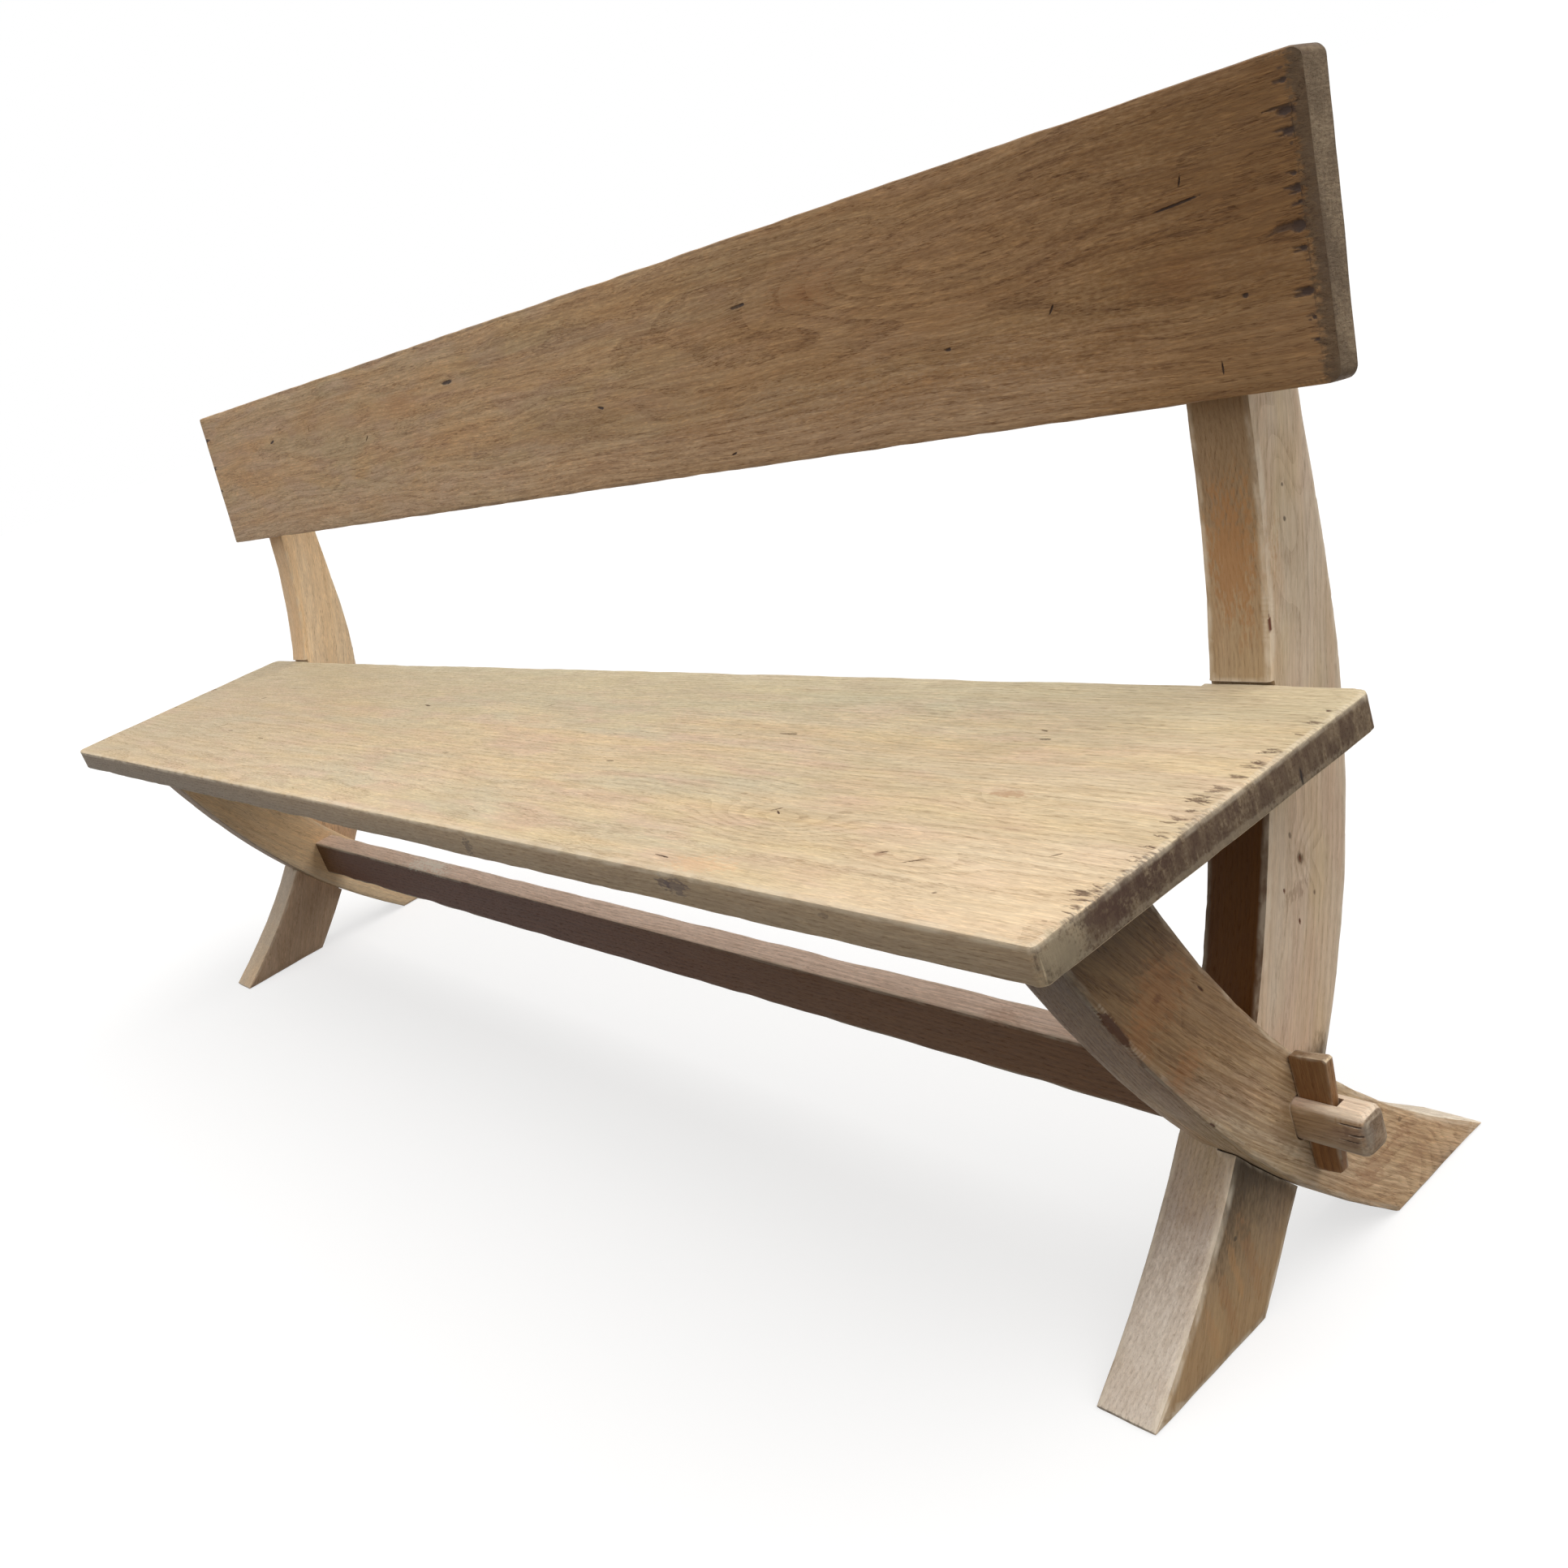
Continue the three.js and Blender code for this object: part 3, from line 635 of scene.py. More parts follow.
def arris_points(mesh):
    """Points along every sharp edge, in a tree that finds the nearest one."""
    points = []
    for edge in mesh.edges:
        if len(edge.link_faces) == 2 and edge.calc_face_angle(0.0) > SHARP:
            start, stop = (v.co for v in edge.verts)
            count = max(1, math.ceil(edge.calc_length() / SAMPLE_STEP))
            points += [start.lerp(stop, i / count) for i in range(count + 1)]
    tree_of_points = kdtree.KDTree(len(points))
    for i, point in enumerate(points):
        tree_of_points.insert(point, i)
    tree_of_points.balance()
    return tree_of_points


print("timbers can be copied")

# %% [markdown]
# ## Cells
#
# Wear and marks need points to move, so a copy is cut into small cells. A mesh that was fine all over
# would have millions of triangles and show nothing more. So large faces get cells of more than a
# centimetre, and only the places with marks get finer ones.

# %% Cut
def cut_at(mesh, axis, places):
    """Cut the mesh across an axis at each of these places."""
    for place in places:
        bmesh.ops.bisect_plane(
            mesh,
            geom=mesh.verts[:] + mesh.edges[:] + mesh.faces[:],
            dist=WELD,
            plane_co=axis * place,
            plane_no=axis,
        )


def cut_cells(mesh, axis, size):
    """Cut the mesh across an axis every so often."""
    places = [v.co.dot(axis) for v in mesh.verts]
    low, high = min(places), max(places)
    count = max(1, round((high - low) / size))
    cut_at(mesh, axis, [low + (high - low) * i / count for i in range(1, count)])


def cut_fine(mesh, place, directions, reaches, sizes):
    """Cut only the cells near a place into finer ones."""
    reach = max(reaches)
    faces = []
    for face in mesh.faces:
        from_place = face.calc_center_median() - place
        slack = 0.7 * math.sqrt(face.calc_area())
        near = from_place.length < reach + 2 * slack
        if near and all(abs(from_place.dot(d)) < r + slack for d, r in zip(directions, reaches)):
            faces.append(face)
    geom = set(faces)
    for face in faces:
        geom.update(face.edges)
        geom.update(face.verts)
    geom = list(geom)
    for direction, reach, size in zip(directions, reaches, sizes):
        count = max(2, math.ceil(2 * reach / size))
        for i in range(count + 1):
            offset = -reach + 2 * reach * i / count
            made = bmesh.ops.bisect_plane(
                mesh,
                geom=geom,
                dist=WELD,
                plane_co=place + direction * offset,
                plane_no=direction,
            )
            geom = made["geom"]


def refine_strip(mesh, place, directions, reaches, cuts):
    """Divide the cells of a flat strip: its edges along each direction are cut into equal lengths."""
    outward = directions[0].cross(directions[1])
    for direction, count in zip(directions, cuts):
        edges = []
        for edge in mesh.edges:
            from_place = (edge.verts[0].co + edge.verts[1].co) / 2 - place
            line = edge.verts[1].co - edge.verts[0].co
            flat = abs(from_place.dot(outward)) < 2 * MM
            inside = all(abs(from_place.dot(d)) < r for d, r in zip(directions, reaches))
            if flat and inside and abs(line.dot(direction)) > 0.98 * line.length > 4 * MM:
                edges.append(edge)
        bmesh.ops.subdivide_edges(mesh, edges=edges, cuts=count)


print("copies can be cut into cells")

# %% [markdown]
# ## Marks in the surface
#
# Checks, torn splinters and chips are real hollows, with an edge that catches the light. They could be
# drawn into the material alone, but then they would vanish in slanting light and from the side. So each
# one is scooped out of the mesh, and its points keep a scar value that tells the oak to be dark there.

# %% Marks
CHECK_CELL = 0.0014
# How raggedly a scar ends, how steeply it darkens, and how far from its middle it is looked for
SCAR_RAGGED = 420
SCAR_DARKENS = 3.0
SCAR_REACH = (1.3, 1.5)


def near_points(mesh, place, reach):
    """The points within a distance of a place."""
    return [v for v in mesh.verts if (v.co - place).length_squared < reach * reach]


def carve(mesh, points, place, along, outward, length, width, depth, dark=1.0):
    """Scoop a shallow hollow out of the surface and note its points as a scar."""
    scar = mesh.verts.layers.float["scar"]
    across = outward.cross(along)
    for vertex in points:
        from_place = vertex.co - place
        u = from_place.dot(along) / (length / 2)
        v = from_place.dot(across) / (width / 2)
        h = from_place.dot(outward)
        if abs(u) > SCAR_REACH[0] or abs(v) > SCAR_REACH[1] or abs(h) > width + 4 * depth:
            continue
        reach = (u * u + v * v) * (1 + 0.5 * noise.noise(vertex.co * SCAR_RAGGED))
        if reach < 1:
            floor_height = -depth * math.sqrt(1 - reach)
            if h > floor_height:
                vertex.co += outward * (floor_height - h)
                vertex[scar] = max(vertex[scar], dark * min(1.0, SCAR_DARKENS * (1 - reach)))


def check_mark(mesh, place, along, outward, length, width, depth):
    """One short open check, with its own fine cells."""
    along = (along - outward * along.dot(outward)).normalized()
    across = outward.cross(along)
    cut_fine(mesh, place, (along, across), (length * 0.6, width), (CHECK_CELL, width / 7))
    points = near_points(mesh, place, length)
    carve(mesh, points, place, along, outward, length, width, depth)
    carve(mesh, points, place + along * length * 0.2 + across * width * 0.25, along, outward,
          length * 0.5, width * 0.5, depth)


print("checks can be carved")

# %% [markdown]
# ## Corners and torn ends
#
# Where a saw leaves a plank's end, it tears splinters out of the face in bunches. Each of them could be
# placed by hand, but there are a hundred, so a bunch is one line in a table, and a seeded list of chances
# scatters its splinters. They fall the same way each time. The corners of the seat are simpler: what
# stands outside an arc moves in to it.

# %% Corners and torn ends
# A torn spot's body is this share of its length, with so many thin points behind it
TEAR_BODY = 0.55
TEAR_POINTS = 3
TEAR_STRIP = 0.034
TEAR_CUTS = (9, 21)


def round_corner(mesh, corner, inward, radius):
    """Round an upright corner of a plank: what stands outside the arc moves in to it."""
    for vertex in mesh.verts:
        along = (vertex.co.x - corner.x) * inward.x
        across = (vertex.co.y - corner.y) * inward.y
        if along < radius and across < radius:
            reach = math.hypot(radius - along, radius - across)
            if reach > radius:
                share = radius / reach
                vertex.co.x = corner.x + inward.x * (radius - (radius - along) * share)
                vertex.co.y = corner.y + inward.y * (radius - (radius - across) * share)


def end_strip(mesh, start, stop, inward):
    """Fine cells along a sawn end: the strip's direction, half its length, and the points near it."""
    direction = (stop - start).normalized()
    middle = (start + stop) / 2 + inward * TEAR_STRIP / 2
    half = (stop - start).length / 2
    refine_strip(mesh, middle, (inward, direction), (TEAR_STRIP / 2, half), TEAR_CUTS)
    return direction, half, near_points(mesh, middle, half + TEAR_STRIP)


def dash_row(mesh, start, stop, inward, outward, tears, ticks, seed):
    """Thin dashes torn out in bunches along a sawn end: place, inset, length and spread in mm."""
    direction, half, points = end_strip(mesh, start, stop, inward)
    draw = random.Random(seed)
    for along_row, inset, length, spread, count in tears:
        for _ in range(count):
            aside = direction * draw.uniform(-0.5, 0.5) * spread * MM
            deeper = inward * draw.uniform(-0.3, 0.4) * length * MM
            slant = (inward + direction * draw.uniform(-0.35, 0.35)).normalized()
            place = start + direction * along_row * MM + inward * inset * MM + aside + deeper
            carve(mesh, points, place, slant, outward,
                  length=length * MM * draw.uniform(0.6, 1.2), width=draw.uniform(0.0012, 0.0021),
                  depth=0.001, dark=draw.uniform(0.6, 1.0))
    for _ in range(ticks):
        place = start + direction * draw.uniform(0.0, 2 * half) + inward * draw.uniform(0.003, 0.02)
        carve(mesh, points, place, inward, outward,
              length=draw.uniform(0.004, 0.01), width=draw.uniform(0.0013, 0.0018),
              depth=0.0005, dark=draw.uniform(0.1, 0.4))


def tear_row(mesh, start, stop, inward, outward, tears, ticks, seed):
    """Splinters torn out along a sawn end: each tear is a dark body with thin points behind it."""
    direction, half, points = end_strip(mesh, start, stop, inward)
    draw = random.Random(seed)
    for along_row, inset, length, width, depth in tears:
        place = start + direction * along_row * MM + inward * inset * MM
        carve(mesh, points, place, inward, outward, length * MM * TEAR_BODY, width * MM, depth * MM)
        for _ in range(TEAR_POINTS):
            side = direction * draw.uniform(-0.5, 0.5) * width * MM
            back = inward * draw.uniform(0.1, 0.4) * length * MM
            carve(mesh, points, place + side + back, inward, outward,
                  length=length * MM * draw.uniform(0.6, 1.0), width=width * MM * draw.uniform(0.25, 0.4),
                  depth=depth * MM * 0.6, dark=0.8)
    for _ in range(ticks):
        inset = draw.uniform(0.002, 0.014)
        place = start + direction * draw.uniform(0.0, 2 * half) + inward * inset
        carve(mesh, points, place, inward, outward,
              length=draw.uniform(0.003, 0.011), width=draw.uniform(0.0014, 0.0022),
              depth=0.0006, dark=draw.uniform(0.2, 0.8))


print("torn ends can be carved")

# %% [markdown]
# ## Grain places
#
# The oak reads three numbers on each point: how far it lies along, across and through its own timber.
# For a straight plank they are plain distances. For a bowed timber the middle line is taken as part of
# a circle, so the first number runs along the bow and the fibres bend with it. The object's own
# coordinates would do for a level plank, but not for one that leans or bends.

# %% Grain places
def straight_grain(start, along, across):
    """Grain places for a straight timber: along, across and through it."""
    through = along.cross(across)

    def place_of(point):
        away = point - start
        return Vector((away.dot(along), away.dot(across), away.dot(through))), along

    return place_of


def curved_grain(low, middle, high):
    """Grain places that follow a timber bowed through three points of its middle line, y and z."""
    chord = high - low
    half = chord.length / 2
    up = chord.normalized()
    side = Vector((up.y, -up.x))
    bow = (middle - (low + high) / 2).dot(side)
    radius = (half * half + bow * bow) / (2 * bow)
    centre = (low + high) / 2 + side * (bow - radius)

    def place_of(point):
        away = Vector((point.y, point.z)) - centre
        outward = away.normalized() * math.copysign(1.0, radius)
        angle = math.atan2(outward.dot(up), outward.dot(side))
        direction = Vector((0.0, up.x, up.y)) * math.cos(angle)
        direction -= Vector((0.0, side.x, side.y)) * math.sin(angle)
        along = angle * abs(radius)
        across = away.length - abs(radius)
        return Vector((along, across, point.x)), direction.normalized()

    return place_of


print("grain places are ready")

# %% [markdown]
# ## Wear, and the finished piece
#
# Wear only ever takes wood away. So every point moves inwards, a little on the open faces and more on
# the arrises, and no piece grows out of its place. A bevel would round every arris alike, but hands and
# feet don't, so the depth changes along the arris.
#
# The last helper stores what the oak reads, makes the object with its material, hangs it on the body
# that it rides on, and hides the node that it stands in for.

# %% Wear and finish
# How often wear changes in a metre on faces, arrises and in dips, and how far from an arris it reaches
FACE_WEAR = (9, 22, 22)
NICK_WEAR = 38
DIP_WEAR = 15
WEAR_REACH = 4 * MM
# How deep it goes on each kind of piece: on open faces, on arrises, and in dips along them
SEAT_WEAR = (0.35 * MM, 1.3 * MM, 2.2 * MM)
BACK_WEAR = (0.35 * MM, 1.2 * MM, 1.4 * MM)
FRAME_WEAR = (0.3 * MM, 1.0 * MM, 1.6 * MM)
STRETCHER_WEAR = (0.2 * MM, 0.8 * MM, 2.4 * MM)
WEDGE_WEAR = (0.1 * MM, 0.5 * MM, 0.0)


def wear(mesh, near_arris, open_depth, arris_depth, dip_depth):
    """Move every point inwards: a little on the faces, more on the arrises, with long shallow dips."""
    mesh.normal_update()
    for vertex in mesh.verts:
        co = vertex.co
        swell = 0.5 + 0.5 * noise.noise(Vector([c * often for c, often in zip(co, FACE_WEAR)]))
        nick = 0.5 + 0.5 * noise.noise(Vector((co.x * NICK_WEAR, co.y * NICK_WEAR, co.z * NICK_WEAR + 7.0)))
        dip = max(0.0, noise.noise(Vector((co.x * DIP_WEAR, co.y * DIP_WEAR, co.z * DIP_WEAR + 3.0))))
        near = math.exp(-near_arris.find(co)[2] / WEAR_REACH)
        worn = open_depth * swell + arris_depth * near * nick * nick + dip_depth * near * dip
        vertex.co = co - vertex.normal * worn


def finish_timber(name, mesh, near_arris, place_of, material, body, node):
    """Store what the oak reads on each point, and make the piece."""
    mesh.normal_update()
    for edge in mesh.edges:
        edge.smooth = edge.calc_face_angle(0.0) < SHADE_SHARP
    for face in mesh.faces:
        face.smooth = True
    grain = mesh.verts.layers.float_vector["grain"]
    arris = mesh.verts.layers.float["arris"]
    end = mesh.verts.layers.float["end"]
    for vertex in mesh.verts:
        place, direction = place_of(vertex.co)
        vertex[grain] = place
        vertex[arris] = near_arris.find(vertex.co)[2]
        vertex[end] = abs(vertex.normal.dot(direction))
    data = bpy.data.meshes.new(name)
    mesh.to_mesh(data)
    mesh.free()
    data.materials.append(material)
    piece = placed(name, data)
    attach(piece, body)
    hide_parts(node)
    print(name, "faces:", len(data.polygons), "points:", len(data.vertices))


print("pieces can be worn and finished")

# %% [markdown]
# ## The seat's oak
#
# The seat is a single wide plank, pale on top, with grain that runs from end to end. One even colour
# would look like paint, and a picture of wood would repeat. So its look lists clouds of colour, zones for
# its edges and a stain in each place where the real one has one. Zones also hold painted shade: on its
# front face, over its far half, where the light is painted as falling off, and on its rear under the
# back, where the wood is also greyer. A knot is a swell in the rings, which then part round it.

# %% The seat's oak
seat_low, seat_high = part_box("seat_plank")
SEAT_LOOK = dict(
    COMMON_LOOK,
    seed=3.1,
    heart=(0.35, 0.02, -0.16),
    ring=0.004,
    ring_share=0.06,
    figure=(((696, -153, 450), (150, 50, 60), 0.1), ((1000, -150, 450), (260, 140, 60), 0.06)),
    fibre_share=0.26,
    fleck_share=0.45,
    dash_share=0.34,
    pore_share=0.42,
    mottle=(20.0, 90.0, 90.0),
    ground=tint(221, 202, 171),
    warm=tint(227, 202, 162),
    tones=(
        ((3.0, 18.0, 18.0), 0.0, 0.6, (206, 197, 170)),
        ((9.0, 40.0, 40.0), 5.0, 0.5, (220, 189, 166)),
        ((6.0, 34.0, 34.0), 9.0, 0.35, (226, 206, 162)),
        ((18.0, 60.0, 60.0), 2.0, 0.4, (205, 186, 154)),
    ),
    # A knot: centre, reach and height in mm
    swells=(
        ((696, -153, 450), (130, 36, 60), 16), ((885, -92, 450), (70, 24, 60), 10),
        ((880, -176, 450), (90, 22, 60), 9), ((330, -60, 450), (160, 40, 60), 9),
        ((-260, -20, 450), (200, 60, 60), 9), ((-640, -130, 450), (160, 50, 60), 7),
    ),
    # Share, colour, and steps: axis, start, stop, raggedness in metres
    zones=(
        # Greyer at the rear: partly the wood's own tone, partly painted shade under the back
        zone(0.6, (190, 182, 152), (1, -0.044, 0.1, 0.05)),
        # Painted shade: the light is painted as falling off over the far, left half
        zone(0.5, (186, 168, 138), (0, 0.2, -0.9, 0.1)),
        zone(0.3, (228, 208, 172), (0, 0.72, 1.0, 0.1)),
        zone(0.5, (240, 216, 184), (0, 0.76, 0.96, 0.02), (1, -0.131, -0.136, 0.002)),
        # Painted shade: the front face is darker than the top, and darker still towards the left
        zone(0.85, (167, 145, 117), (2, 0.449, 0.446, 0.0), facing=FORWARD),
        zone(0.7, (134, 118, 97), (2, 0.449, 0.446, 0.0), (0, 0.5, -0.4, 0.1), facing=FORWARD),
        zone(0.75, (121, 107, 89), (2, 0.449, 0.446, 0.0), (0, -0.1, -0.7, 0.1), facing=FORWARD),
    ),
    # Stains: centre and reach in mm, share, raggedness, colour
    spots=(
        ((1057, -222, 434), (8, 34, 30), 0.65, 0.6, (166, 152, 126)),
        ((1057, -160, 446), (8, 52, 17), 0.7, 0.9, (70, 50, 42)),
        ((1057, -180, 434), (8, 26, 14), 0.5, 0.9, (80, 58, 48)),
        ((1057, -92, 440), (8, 60, 22), 0.55, 0.9, (76, 56, 44)),
        ((1057, 30, 438), (8, 90, 20), 0.4, 0.9, (86, 68, 54)),
        ((1057, -60, 424), (8, 190, 4), 0.5, 0.6, (170, 154, 130)),
        ((1057, 21, 428), (8, 1.6, 9), 0.95, 0.2, (34, 26, 22)),
        ((1055, -243, 438), (2.2, 2.2, 16), 0.85, 0.4, (70, 48, 38)),
        ((680, -244, 438), (15, 6, 10), 0.6, 1.2, (70, 56, 62)),
        ((663, -244, 441), (9, 6, 7), 0.6, 1.2, (70, 56, 60)),
        ((326, -244, 433), (8, 6, 9), 0.55, 1.2, (66, 52, 46)),
        ((860, -244, 441), (7, 6, 4), 0.5, 0.9, (92, 74, 60)),
        ((885, -76, 451), (22, 7, 9), 0.5, 0.6, (168, 118, 84)),
        ((696, -226, 451), (46, 14, 9), 0.35, 0.9, (226, 176, 132)),
        ((849, -175, 451), (8, 5, 9), 0.5, 0.5, (140, 96, 70)),
        ((939, -209, 451), (3, 2, 9), 0.7, 0.3, (96, 70, 52)),
    ),
    saw=(60.0, 340.0, 40.0),
    dirt=(40.0, 130.0, 55.0),
    end=tint(118, 100, 80),
    end_dark=tint(86, 67, 54),
    end_pale=tint(158, 139, 113),
    dirt_share=0.75,
    speck_share=0.6,
    rub=tint(230, 215, 190),
    rub_width=0.0035,
    rub_low=0.1,
    rub_high=0.6,
    rub_above=(0.442, 0.447),
    scar=tint(92, 68, 52),
)
seat_oak = oak("seat_oak", SEAT_LOOK)

# %% [markdown]
# ## The seat's shape
#
# Along the right end the saw tore small dark splinters out of the top, and short dark checks lie in the
# surface. The corners are round, and the arrises are worn. All this could be drawn in the material, but
# the outline would stay sharp, and a torn spot shows its shape in slanting light. So the copy is cut
# into cells, worn and carved, and the scar value that each scoop leaves makes the oak dark there.

# %% The seat's shape
SEAT_CELL = 0.016
SEAT_CHECK_DEPTH = 1.2 * MM
EDGE_CUTS = (2, 4, 7, 11)
# Radius of each upright corner: side, end, radius in mm
SEAT_CORNERS = ((1, -1, 9), (-1, -1, 26), (1, 1, 18), (-1, 1, 16))
seat_mesh = timber_copy("seat_plank")
seat_arrises = arris_points(seat_mesh)
for axis in (X, Y, Z):
    cut_cells(seat_mesh, axis, SEAT_CELL)
for axis, low, high in ((X, seat_low.x, seat_high.x), (Y, seat_low.y, seat_high.y)):
    cut_at(seat_mesh, axis, [low + c * MM for c in EDGE_CUTS] + [high - c * MM for c in EDGE_CUTS])
wear(seat_mesh, seat_arrises, *SEAT_WEAR)

# Bunches of torn dashes at the right end: back from the front, in from the end, length, spread in mm, count
SEAT_TEARS = (
    (44, 9, 11, 9, 5), (58, 13, 17, 12, 8), (68, 9, 11, 6, 4), (92, 6, 6, 5, 2), (107, 8, 10, 6, 3),
    (121, 9, 8, 5, 3), (138, 12, 11, 6, 4), (156, 15, 14, 9, 5), (171, 13, 9, 5, 3), (187, 17, 18, 12, 8),
    (201, 15, 16, 9, 6), (222, 11, 11, 6, 4), (238, 13, 16, 9, 6), (258, 12, 15, 8, 5), (284, 8, 8, 5, 2),
    (303, 11, 12, 6, 4), (322, 8, 7, 4, 2),
)
# Short checks in the top: along from the middle, back from the front, length, width, turn in degrees
SEAT_CHECKS = (
    (549, 233, 26, 2.2, 3), (-210, 238, 20, 2.6, -8), (362, 153, 13, 2.0, 6), (683, 108, 12, 2.2, 35),
    (690, 104, 10, 1.8, -30), (990, 99, 9, 1.6, 40), (843, 254, 12, 2.2, 4), (830, 268, 9, 1.6, -12),
    (886, 67, 20, 1.6, 28), (850, 72, 9, 2.0, 20), (-640, 120, 16, 2.4, 10), (640, 20, 22, 1.8, -4),
    (-768, 224, 12, 3.0, 20), (-704, 131, 20, 2.6, 50), (-493, 111, 22, 1.6, 0), (42, 132, 16, 1.6, 5),
    (73, 259, 12, 1.8, 40), (484, 224, 10, 1.6, 10),
)
for side, tears, ticks in ((1, SEAT_TEARS, 60), (-1, SEAT_TEARS[::4], 40)):
    end_x = side * seat_high.x
    dash_row(
        seat_mesh,
        Vector((end_x, seat_low.y, seat_high.z)), Vector((end_x, seat_high.y, seat_high.z)),
        X * -side, Z, tears, ticks, seed=41 + side,
    )
for along_seat, back_from_front, length, width, turn in SEAT_CHECKS:
    place = Vector((along_seat * MM, seat_low.y + back_from_front * MM, seat_high.z))
    lie = Vector((math.cos(math.radians(turn)), math.sin(math.radians(turn)), 0.0))
    check_mark(seat_mesh, place, lie, Z, length * MM, width * MM, SEAT_CHECK_DEPTH)
for side, end, radius in SEAT_CORNERS:
    corner = Vector((side * seat_high.x, seat_low.y if end < 0 else seat_high.y, 0.0))
    round_corner(seat_mesh, corner, Vector((-side, -end, 0.0)), radius * MM)
finish_timber(
    "seat", seat_mesh, seat_arrises,
    straight_grain(Vector((0.0, seat_low.y, seat_low.z)), X, Y),
    seat_oak, "bench_frame", "seat_plank",
)

# %% [markdown]
# ## The back's oak
#
# The back is one wide plank that leans away from the seat. Its face is darker than the seat, and long
# loops of figure lie in its right half, where the saw grazed the rings. The loops could be drawn as
# curves, but they come by themselves when the tree's heart lies behind the face and the rings swell
# out in a few places. So only the heart and the swells are placed.

# %% The back's oak
BACK_RAKE = math.radians(8)
back_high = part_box("back_plank")[1]
back_up = Vector((0.0, math.sin(BACK_RAKE), math.cos(BACK_RAKE)))
back_out = Vector((0.0, -math.cos(BACK_RAKE), math.sin(BACK_RAKE)))
BACK_LOOK = dict(
    COMMON_LOOK,
    seed=7.7,
    heart=(0.2, 0.13, -0.14),
    ring=0.0055,
    ring_share=0.07,
    sway=0.03,
    figure=(((700, 152, 764), (360, 120, 58), 0.16), ((300, 152, 760), (420, 120, 120), 0.06)),
    mottle=(14.0, 110.0, 110.0),
    mottle_share=0.2,
    fibre_share=0.5,
    fleck_share=0.7,
    dash_share=0.55,
    pore_share=0.6,
    ground=tint(208, 180, 144),
    warm=tint(212, 176, 134),
    tones=(
        ((3.0, 20.0, 20.0), 0.0, 0.45, (190, 172, 136)),
        ((9.0, 40.0, 40.0), 5.0, 0.35, (194, 162, 142)),
        ((6.0, 34.0, 34.0), 9.0, 0.4, (208, 164, 112)),
    ),
    swells=(
        ((700, 152, 798), (340, 80, 46), 30), ((-524, 147, 722), (110, 80, 44), 10),
        ((-769, 158, 797), (80, 80, 24), 4), ((-616, 158, 802), (80, 80, 24), 4),
        ((-428, 154, 769), (100, 80, 28), 5), ((60, 152, 740), (330, 80, 44), 12),
    ),
    zones=(
        zone(0.8, (164, 127, 86), (0, -0.2, 0.8, 0.2)),
        zone(0.72, (124, 88, 47), (0, 0.72, 1.02, 0.15), (2, 0.68, 0.75, 0.03)),
        zone(0.35, (124, 92, 58), (0, 0.8, 1.0, 0.1), (2, 0.74, 0.68, 0.03)),
        zone(0.5, (192, 168, 142), (2, 0.735, 0.665, 0.03), (0, 0.95, 0.75, 0.05)),
        zone(0.75, (90, 77, 62), (0, 1.052, 1.058, 0.006)),
        zone(0.75, (90, 77, 62), (0, -1.052, -1.058, 0.006)),
    ),
    spots=(
        ((-769, 158, 797), (12, 30, 8), 0.4, 0.8, (128, 94, 62)),
        ((-524, 147, 722), (34, 30, 26), 0.3, 0.8, (206, 176, 150)),
        ((-300, 158, 800), (70, 30, 26), 0.3, 0.9, (176, 124, 78)),
        ((950, 150, 740), (34, 30, 22), 0.25, 0.9, (130, 84, 46)),
        ((543, 156, 800), (60, 30, 20), 0.3, 0.9, (160, 106, 60)),
        ((1063, 150, 745), (4, 40, 60), 0.3, 1.2, (88, 72, 60)),
        ((-550, 158, 800), (260, 30, 34), 0.25, 0.9, (190, 152, 112)),
        ((160, 152, 730), (300, 30, 26), 0.3, 0.9, (150, 122, 88)),
    ),
    saw=(60.0, 420.0, 150.0),
    end=tint(138, 119, 96),
    end_dark=tint(92, 75, 58),
    end_pale=tint(156, 138, 113),
    dirt_share=0.5,
    rub=tint(84, 68, 52),
    rub_width=0.0018,
    rub_low=0.2,
    rub_high=0.6,
)
back_oak = oak("back_oak", BACK_LOOK)

# %% [markdown]
# ## The back's shape
#
# Torn splinters run down the right end, and beyond them a bevel is worn to a grey-brown band. The face
# leans by eight degrees, so cuts along the bench's own axes would cross it askew. Two directions are
# made instead, one up the face and one out of it, and every cut and mark is placed along them.

# %% The back's shape
BACK_CELL = 0.016
BACK_CHECK_DEPTH = 1.4 * MM
BEVEL_LENGTH = 10
BEVEL_DEPTH = 4
BEVEL_CUTS = (6, 7)
back_mesh = timber_copy("back_plank")
back_arrises = arris_points(back_mesh)
# The lower front edge of the face; marks are placed along it and up from it
face_foot = min(v.co.dot(back_up) for v in back_mesh.verts)
face_front = max(v.co.dot(back_out) for v in back_mesh.verts)
face_top = max(v.co.dot(back_up) for v in back_mesh.verts)
for axis in (X, back_up, back_out):
    cut_cells(back_mesh, axis, BACK_CELL)
for side in (1, -1):
    # The bevel at each end: its middle, and the way from the end to the face
    bevel_way = (X * -side * BEVEL_LENGTH + back_out * BEVEL_DEPTH) * MM
    end_edge = X * side * back_high.x + back_out * (face_front - BEVEL_DEPTH * MM)
    bevel_middle = end_edge + bevel_way / 2 + back_up * (face_foot + face_top) / 2
    half = (face_top - face_foot) / 2
    refine_strip(
        back_mesh, bevel_middle, (bevel_way.normalized(), back_up),
        (bevel_way.length / 2 + MM, half), BEVEL_CUTS,
    )
wear(back_mesh, back_arrises, *BACK_WEAR)

